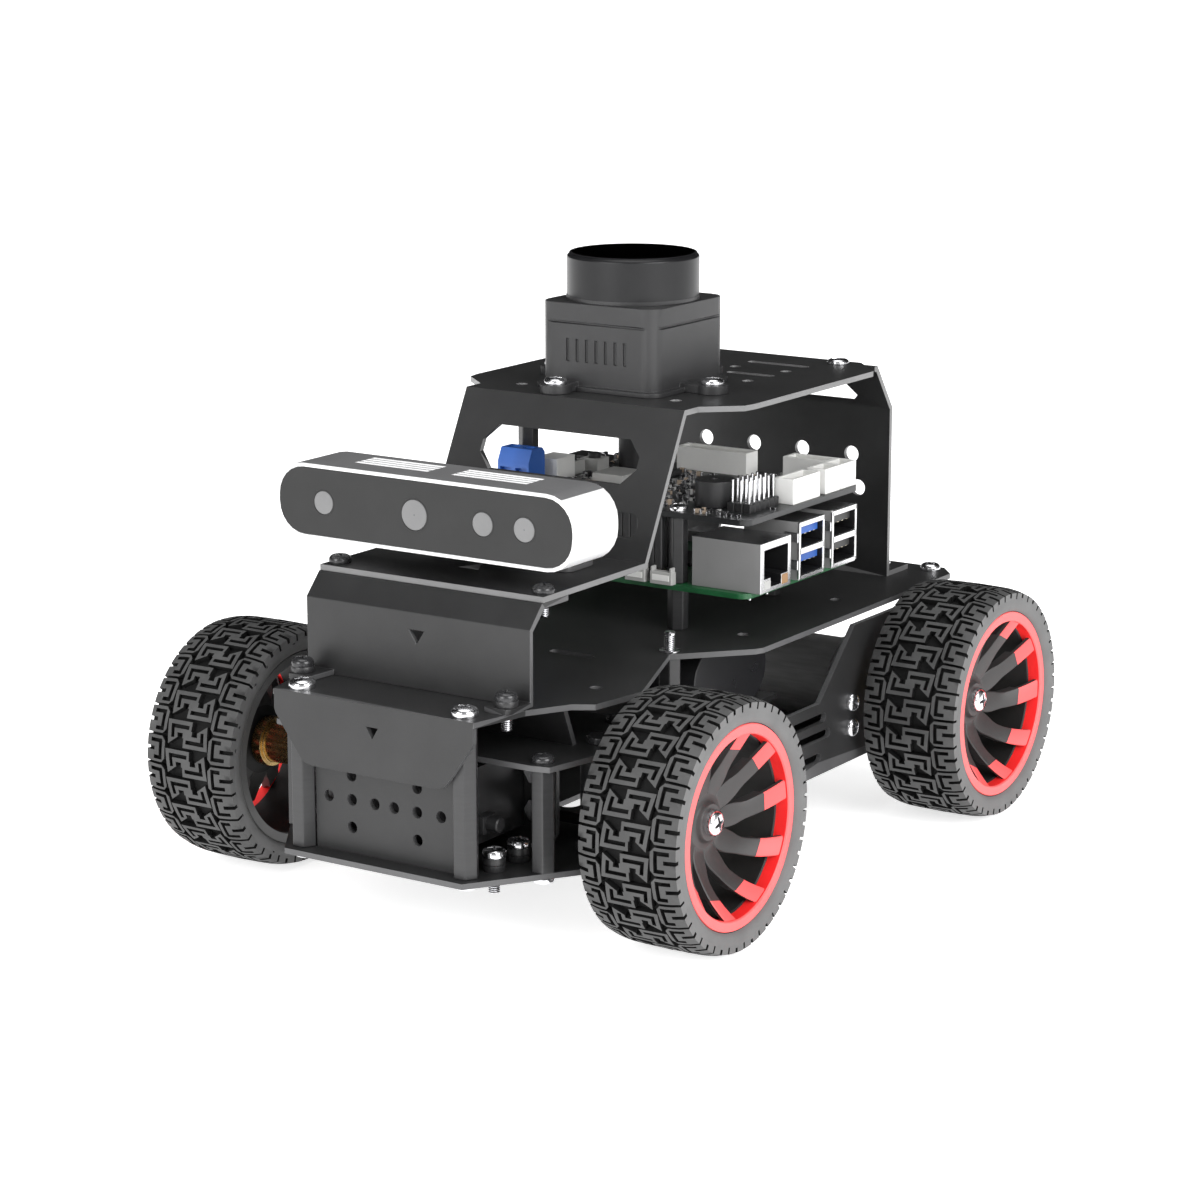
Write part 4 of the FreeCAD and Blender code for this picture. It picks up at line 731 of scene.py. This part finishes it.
template = {}
for part, builder in (("tyre", lambda: tyre_mesh(1)), ("rim", rim_mesh), ("wheel_screw", wheel_screw_mesh)):
    template[part] = builder()
SLOT = {"tyre": "tyre_rubber", "rim": "rim_plastic", "wheel_screw": "steel"}
for corner, wx, s in (("front_left", 66.3, 1), ("front_right", 66.3, -1), ("rear_left", -76.0, 1), ("rear_right", -76.0, -1)):
    for part, b in template.items():
        c = Build()
        c.mats = list(b.mats)
        c.m = list(b.m)
        turn = {"front_left": 0.12, "front_right": 0.5, "rear_left": 0.33, "rear_right": 0.2}[corner]
        ct, st = math.cos(turn), math.sin(turn)
        for p in b.v:
            x, y, z = p / MM
            x, z = x * ct - z * st, x * st + z * ct
            c.v.append(Vector((x + wx, (y + YC) * s, (z if s > 0 else z) + 32.5)) * MM)
        c.f = list(b.f) if s > 0 else [tuple(reversed(f)) for f in b.f]
        ob = c.done("%s_%s_look" % (part, corner), "wheel_" + corner, SLOT[part], 32.0 if part != "rim" else 40.0, 0.000015 if part == "tyre" else 0.0)
        if part == "tyre":
            bv = ob.modifiers.new("rounded", "BEVEL")
            bv.width = 0.13 * MM
            bv.segments = 1
            bv.limit_method = "ANGLE"
            bv.angle_limit = math.radians(50)
        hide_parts("%s_%s" % (part, corner))

# ---------------------------------------------------------- expansion board
HZ = 93.4
PZ = 73.74


def pins(b, x0, y0, nx, ny, z0, z1, m=GOLD, pitch=2.54, w=0.32):
    for i in range(nx):
        for j in range(ny):
            x, y = x0 + i * pitch, y0 + j * pitch
            b.box(x - w, x + w, y - w, y + w, z0, z1, m, 0.16)


b = Build()
# servo style pin block beside the buzzer: black base with rows of tall pins
for i in range(6):
    for j in range(3):
        x, y = -22.6 + i * 2.54, 32.26 + j * 2.54
        b.box(x - 1.2, x + 1.2, y - 1.2, y + 1.2, HZ, HZ + 2.4, PLASTIC, 0.25)
pins(b, -22.6, 32.26, 6, 3, HZ + 2.3, HZ + 8.6, STEEL)
for k in range(20):
    for j in range(2):
        x, y = -3.57 + j * 2.54, -33.2 + k * 2.54
        b.box(x - 1.18, x + 1.18, y - 1.2, y + 1.2, PZ, PZ + 2.4, PLASTIC, 0.25)
        b.box(x - 1.18, x + 1.18, y - 1.2, y + 1.2, 77.3, 91.8, PLASTIC, 0.25)
        b.box(x - 0.3, x + 0.3, y - 0.3, y + 0.3, PZ + 2.3, 83.3, GOLD, 0.1)
ob = b.done("headers_look", "chassis", "black_plastic")
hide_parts("pin_headers")

b = Build()
# small surface parts scattered in the free areas, one fixed pattern
taken = [(-19.5, -8.5, 18.9, 29.9), (-15.4, -7.4, -42.4, -32.0), (-26, -17, -36.4, -29), (-33.5, -27.5, -36.5, -30.5), (-40.5, -34.5, -33, -27),
         (-26, -15, -16, -6), (-14.4, -10, -18, -13.5), (-52, -44, -28, -20), (-46, -39, -40, -33), (-44, -38, 22, 28), (-9, -5, -14, -8),
         (-30, -25, 20, 26), (-14, -7, -2, 5), (-46, -36, -16, -6), (-60.5, -24.0, 35.5, 43), (-24.6, -7.4, 30.4, 39.2), (-59.6, -52, -12.6, 11.6),
         (-61, -53.4, 21.4, 36.6), (-5.4, 0.8, 16.8, 23.2), (-5.4, 0.8, -41.2, -34.8), (-54.4, -48.2, 16.8, 23.2), (-54.4, -48.2, -41.2, -34.8),
         (-22.4, -15.6, -43, -36.6)]
for i in range(24):
    for j in range(35):
        if rnd.random() < 0.40:
            continue
        x = -59.2 + i * 2.45 + rnd.uniform(-0.35, 0.35)
        y = -41.4 + j * 2.4 + rnd.uniform(-0.3, 0.3)
        if any(a - 1.2 < x < c + 1.2 and d - 1.2 < y < e + 1.2 for a, c, d, e in taken):
            continue
        big = rnd.random() < 0.14
        along = rnd.random() < 0.5
        z1 = HZ + rnd.choice((0.55, 0.7, 0.9)) + (0.5 if big else 0.0)
        k = 1.15 if big else 0.95
        body = rnd.choice((CHIP, CHIP, TAN, GREY_HOUSING))
        lx, ly = (k, 0.5) if along else (0.5, k)
        b.box(x - lx * (0.62 if along else 0.9), x + lx * (0.62 if along else 0.9), y - ly * (0.9 if along else 0.62), y + ly * (0.9 if along else 0.62), HZ, z1, body, 0.08)
        for q in (-1, 1):
            if along:
                x0, x1 = sorted((x + q * k * 0.6, x + q * k))
                b.box(x0, x1, y - ly, y + ly, HZ, z1 - 0.04, STEEL, 0.06)
            else:
                y0, y1 = sorted((y + q * k * 0.6, y + q * k))
                b.box(x - lx, x + lx, y0, y1, HZ, z1 - 0.04, STEEL, 0.06)
b.done("expansion_board_small_parts", "chassis", "chip_plastic")

b = Build()
# parts on the computer: power chips, sockets' tails and the processor's lid
LID = mat("processor_lid", (0.55, 0.55, 0.56), rough=0.28, metal=1.0, bump=(1500, 0.04), vary=0.06)
b.box(-34.0, -20.0, -16.5, -2.5, PZ + 1.0, PZ + 2.2, LID, 0.4)
for k in range(7):
    b.box(-14 + (k % 2) * 3.4, -12 + (k % 2) * 3.4, -30 + k * 3.6, -28.6 + k * 3.6, PZ, PZ + 1.0, rnd.choice((CHIP, TAN)), 0.1)
for k in range(16):
    x, y = rnd.uniform(-48, -8), rnd.uniform(-36, 22)
    if -36 < x < -18 and -19 < y < 15:
        continue
    if x < -44 and (y < -20 or y > 16):
        continue
    b.box(x - 0.8, x + 0.8, y - 0.45, y + 0.45, PZ, PZ + 0.7, rnd.choice((CHIP, TAN, GREY_HOUSING)), 0.08)
b.box(-9.0, -6.6, 23.0, 24.9, PZ, PZ + 4.6, WHITE, 0.2)
b.done("computer_small_parts", "chassis", "chip_plastic")

# port details: blue tongues and contacts, jack contacts and light windows
b = Build()
PY = 46.4
for ux, tongue in ((-27.9, BLUE_IN), (-45.8, DARK_TONGUE)):
    for z0 in (4.7, 12.2):
        b.box(ux - 5.6, ux + 5.6, PY - 9.9, PY - 1.3, PZ + z0 - 0.05, PZ + z0 + 1.98, tongue, 0.2)
        for k in range(4):
            xx = ux - 3.75 + k * 2.5
            b.box(xx - 0.5, xx + 0.5, PY - 8.0, PY - 1.25, PZ + z0 - 0.16, PZ + z0 - 0.04, GOLD, 0.03)
    # folded rim round the mouth, with spring tabs at each side
    for xa, xb in ((ux - 6.75, ux - 6.0), (ux + 6.0, ux + 6.75)):
        b.box(xa, xb, PY - 0.5, PY + 0.25, PZ + 0.5, PZ + 15.9, PLATED, 0.15)
    for za, zb in ((PZ + 0.6, PZ + 1.4), (PZ + 7.2, PZ + 8.9), (PZ + 14.7, PZ + 16.1)):
        b.box(ux - 6.6, ux + 6.6, PY - 0.5, PY + 0.25, za, zb, PLATED, 0.15)
    for za in (PZ + 3.0, PZ + 10.5):
        b.box(ux + 6.5, ux + 7.0, PY - 4.5, PY - 0.2, za, za + 2.6, PLATED, 0.15)
for k in range(8):
    x = -9.2 - 3.57 + k * 1.02
    b.box(x - 0.18, x + 0.18, PY - 11.5, PY - 4.2, PZ + 10.5, PZ + 10.8, GOLD, 0.05)
b.box(-6.3, -3.1, PY - 0.35, PY + 0.12, PZ + 0.9, PZ + 3.2, GREY_HOUSING, 0.15)
b.box(-15.3, -12.1, PY - 0.35, PY + 0.12, PZ + 0.9, PZ + 3.5, mat("light_window", (0.30, 0.17, 0.08), 0.3), 0.15)
for x in (-13.5, -4.5):
    b.turned([(0, 70.9), (0.45, 71.0), (0.5, PZ - 1.5)], "z", (x, 41.0, 0), STEEL, 12)
for k in range(4):
    b.turned([(0, 71.3), (0.3, 71.4), (0.35, PZ - 1.5)], "z", (-4.4 - k * 2.0, 30.5, 0), STEEL, 10)
b.done("port_details", "chassis", "port_metal")

# white connector contacts
b = Build()
for x0, x1 in ((-39.4, -24.9), (-50.6, -42.4), (-59.5, -50.9)):
    nx = int((x1 - x0 - 2.0) / 2.5) + 1
    st = 0.5 * (x0 + x1) - (nx - 1) * 1.25
    for k in range(nx):
        b.box(st + k * 2.5 - 0.3, st + k * 2.5 + 0.3, 39.1, 39.7, HZ + 1.4, HZ + 6.0, GOLD, 0.1)
for k in range(8):
    b.box(-56.1, -55.5, -9.7 + k * 2.54, -9.1 + k * 2.54, HZ + 1.5, HZ + 5.8, GOLD, 0.1)
for k in range(4):
    b.box(-57.5, -56.9, 24.9 + k * 2.54, 25.5 + k * 2.54, HZ + 1.5, HZ + 5.8, GOLD, 0.1)
for y in (-39.8, -34.7):
    b.turned([(0, HZ + 7.1), (1.7, HZ + 7.1), (1.75, HZ + 9.0), (1.5, HZ + 9.2), (0, HZ + 9.2)], "z", (-11.6, y, 0), STEEL, 20)
b.done("connector_contacts", "chassis", "steel")
b = Build()
for y0, y1 in ((6.0, 12.5), (14.0, 21.0)):
    b.box(0.2, 2.6, y0, y1, PZ, PZ + 3.4, GREY_HOUSING, 0.25)
    b.box(2.55, 2.75, y0 + 0.8, y1 - 0.8, PZ + 1.0, PZ + 2.6, WHITE, 0.08)
    for q in (y0 + 0.2, y1 - 0.9):
        b.box(0.4, 2.4, q, q + 0.7, PZ + 3.3, PZ + 4.6, GREY_HOUSING, 0.15)
for k in range(4):
    b.box(-0.5, 0.3, 6.8 + k * 1.3, 7.2 + k * 1.3, PZ, PZ + 0.4, STEEL, 0.05)
b.done("board_edge_connectors", "chassis", "white_plastic")

# --------------------------------------------------------------- lidar parts
b = Build()
b.turned([(17.2, 160.35), (17.1, 160.5), (16.8, 160.6), (0, 160.6)], "z", (LX, 0, 0), LIDAR_TOP, 72)
b.turned([(17.95, 149.2), (17.95, 148.3), (18.2, 148.15), (17.7, 148.1)], "z", (LX, 0, 0), LIDAR, 72)
b.done("lidar_cap_rings", "chassis", "lidar_plastic")

# --------------------------------------------------------- depth camera parts
b = Build()
CX = 86.2
CZ = 104.65
for y, r in ((-30.9, 3.25), (-2.5, 4.15), (18.3, 3.3), (30.7, 3.35)):
    b.turned([(r + 0.25, -0.32), (r + 0.2, -0.14), (r - 0.1, -0.12), (r - 0.3, -0.3)], "x", (CX, y, CZ), CAM_GLASS, 40)
    b.turned([(r - 0.1, -0.5), (r - 0.5, -0.42), (r * 0.72, -0.4), (r * 0.66, -0.55), (0, -0.5)], "x", (CX, y, CZ), LENS, 40)
    if y in (-2.5, 30.7):
        b.turned([(r * 0.42, -0.5), (r * 0.34, -0.4), (0, -0.34)], "x", (CX, y, CZ), LENS_DARK, 32)
b.done("camera_lens_rings", "chassis", "lens_glass")

# ----------------------------------------------------------------- servo bits
b = Build()
for y0 in (-19.0, 6.0):
    b.box(71.6, 96.0, y0, y0 + 13.0, 44.25, 44.6, PLASTIC, 0.2)
b.turned([(0, 0.0), (2.0, 0.0), (2.0, 3.2), (1.7, 3.5), (0, 3.5)], "y", (89.7, 22.4, 29.9), PLASTIC, 16)
b.done("servo_details", "chassis", "black_plastic")

# ------------------------------------------------------------------- studio
floor_mat = bpy.data.materials.new("studio_floor")
floor_mat.use_nodes = True
nt = floor_mat.node_tree
bs = nt.nodes["Principled BSDF"]
bs.inputs["Roughness"].default_value = 0.9
bs.inputs["Specular IOR Level"].default_value = 0.1
bs.inputs["Emission Color"].default_value = (1, 1, 1, 1)
bs.inputs["Emission Strength"].default_value = 0.70
nz = nt.nodes.new("ShaderNodeTexNoise")
nz.inputs["Scale"].default_value = 3.0
cr = nt.nodes.new("ShaderNodeValToRGB")
cr.color_ramp.elements[0].color = (0.93, 0.93, 0.93, 1)
cr.color_ramp.elements[1].color = (0.955, 0.955, 0.955, 1)
nt.links.new(nz.outputs["Fac"], cr.inputs["Fac"])
nt.links.new(cr.outputs["Color"], bs.inputs["Base Color"])
me = bpy.data.meshes.new("studio_floor")
me.from_pydata([(-9, -9, -0.0002), (9, -9, -0.0002), (9, 9, -0.0002), (-9, 9, -0.0002)], [], [(0, 1, 2, 3)])
me.materials.append(floor_mat)
floor = bpy.data.objects.new("studio_floor", me)
bpy.context.scene.collection.objects.link(floor)

world = bpy.data.worlds.new("studio")
bpy.context.scene.world = world
world.use_nodes = True
nt = world.node_tree
nt.nodes.clear()
wo = nt.nodes.new("ShaderNodeOutputWorld")
bg_cam = nt.nodes.new("ShaderNodeBackground")
bg_cam.inputs["Color"].default_value = (1, 1, 1, 1)
bg_cam.inputs["Strength"].default_value = 1.0
bg_dif = nt.nodes.new("ShaderNodeBackground")
bg_dif.inputs["Color"].default_value = (1, 1, 1, 1)
bg_dif.inputs["Strength"].default_value = 0.9
bg_gl = nt.nodes.new("ShaderNodeBackground")
tc = nt.nodes.new("ShaderNodeTexCoord")
sep = nt.nodes.new("ShaderNodeSeparateXYZ")
nt.links.new(tc.outputs["Generated"], sep.inputs[0])
ramp = nt.nodes.new("ShaderNodeValToRGB")
els = ramp.color_ramp.elements
els[0].position = 0.5
els[0].color = (0.55, 0.55, 0.55, 1)
els[1].position = 1.0
els[1].color = (0.0, 0.0, 0.0, 1)
for pos, val in ((0.62, 0.65), (0.72, 0.35), (0.85, 0.12), (0.93, 0.0)):
    e = els.new(pos)
    e.color = (val, val, val, 1)
mr = nt.nodes.new("ShaderNodeMapRange")
mr.inputs["From Min"].default_value = -1.0
mr.inputs["From Max"].default_value = 1.0
nt.links.new(sep.outputs["Z"], mr.inputs["Value"])
nt.links.new(mr.outputs[0], ramp.inputs["Fac"])
dot = nt.nodes.new("ShaderNodeVectorMath")
dot.operation = "DOT_PRODUCT"
dot.inputs[1].default_value = (0.836, 0.549, 0.0)
nt.links.new(tc.outputs["Generated"], dot.inputs[0])
front = nt.nodes.new("ShaderNodeMapRange")
front.inputs["From Min"].default_value = -0.25
front.inputs["From Max"].default_value = 0.35
front.inputs["To Min"].default_value = 0.03
front.inputs["To Max"].default_value = 1.0
nt.links.new(dot.outputs["Value"], front.inputs["Value"])
top = nt.nodes.new("ShaderNodeMapRange")
top.inputs["From Min"].default_value = 0.86
top.inputs["From Max"].default_value = 0.95
top.inputs["To Min"].default_value = 0.0
top.inputs["To Max"].default_value = 2.6
nt.links.new(sep.outputs["Z"], top.inputs["Value"])
mul = nt.nodes.new("ShaderNodeMath")
mul.operation = "MULTIPLY_ADD"
nt.links.new(ramp.outputs["Color"], mul.inputs[0])
nt.links.new(front.outputs[0], mul.inputs[1])
nt.links.new(top.outputs[0], mul.inputs[2])
nt.links.new(mul.outputs[0], bg_gl.inputs["Strength"])
bg_gl.inputs["Color"].default_value = (1, 1, 1, 1)
lp = nt.nodes.new("ShaderNodeLightPath")
m1 = nt.nodes.new("ShaderNodeMixShader")
m2 = nt.nodes.new("ShaderNodeMixShader")
nt.links.new(lp.outputs["Is Glossy Ray"], m1.inputs[0])
nt.links.new(bg_dif.outputs[0], m1.inputs[1])
nt.links.new(bg_gl.outputs[0], m1.inputs[2])
nt.links.new(lp.outputs["Is Camera Ray"], m2.inputs[0])
nt.links.new(m1.outputs[0], m2.inputs[1])
nt.links.new(bg_cam.outputs[0], m2.inputs[2])
nt.links.new(m2.outputs[0], wo.inputs[0])


def area(name, loc, target, size, power, size_y=None):
    li = bpy.data.lights.new(name, "AREA")
    li.energy = power
    li.size = size
    if size_y:
        li.shape = "RECTANGLE"
        li.size_y = size_y
    ob = bpy.data.objects.new(name, li)
    ob.location = loc
    ob.rotation_euler = (Vector(target) - Vector(loc)).to_track_quat("-Z", "Y").to_euler()
    bpy.context.scene.collection.objects.link(ob)
    return ob


area("key_left", (0.35, 1.25, 0.75), (0, 0, 0.06), 0.9, 16.0)
area("front_fill", (1.3, -0.25, 0.55), (0, 0, 0.07), 0.7, 8.0)

cam = bpy.data.cameras.new("photo_view")
cam.lens = 100.82
cam.sensor_width = 36.0
cam.sensor_fit = "HORIZONTAL"
cam.clip_start = 0.01
cam.clip_end = 50.0
co = bpy.data.objects.new("photo_view", cam)
co.location = (0.74504, 0.48541, 0.27250)
co.rotation_euler = Vector((-0.81450, -0.53455, -0.22550)).to_track_quat("-Z", "Y").to_euler()
bpy.context.scene.collection.objects.link(co)
bpy.context.scene.camera = co
bpy.context.scene.view_settings.view_transform = "Standard"
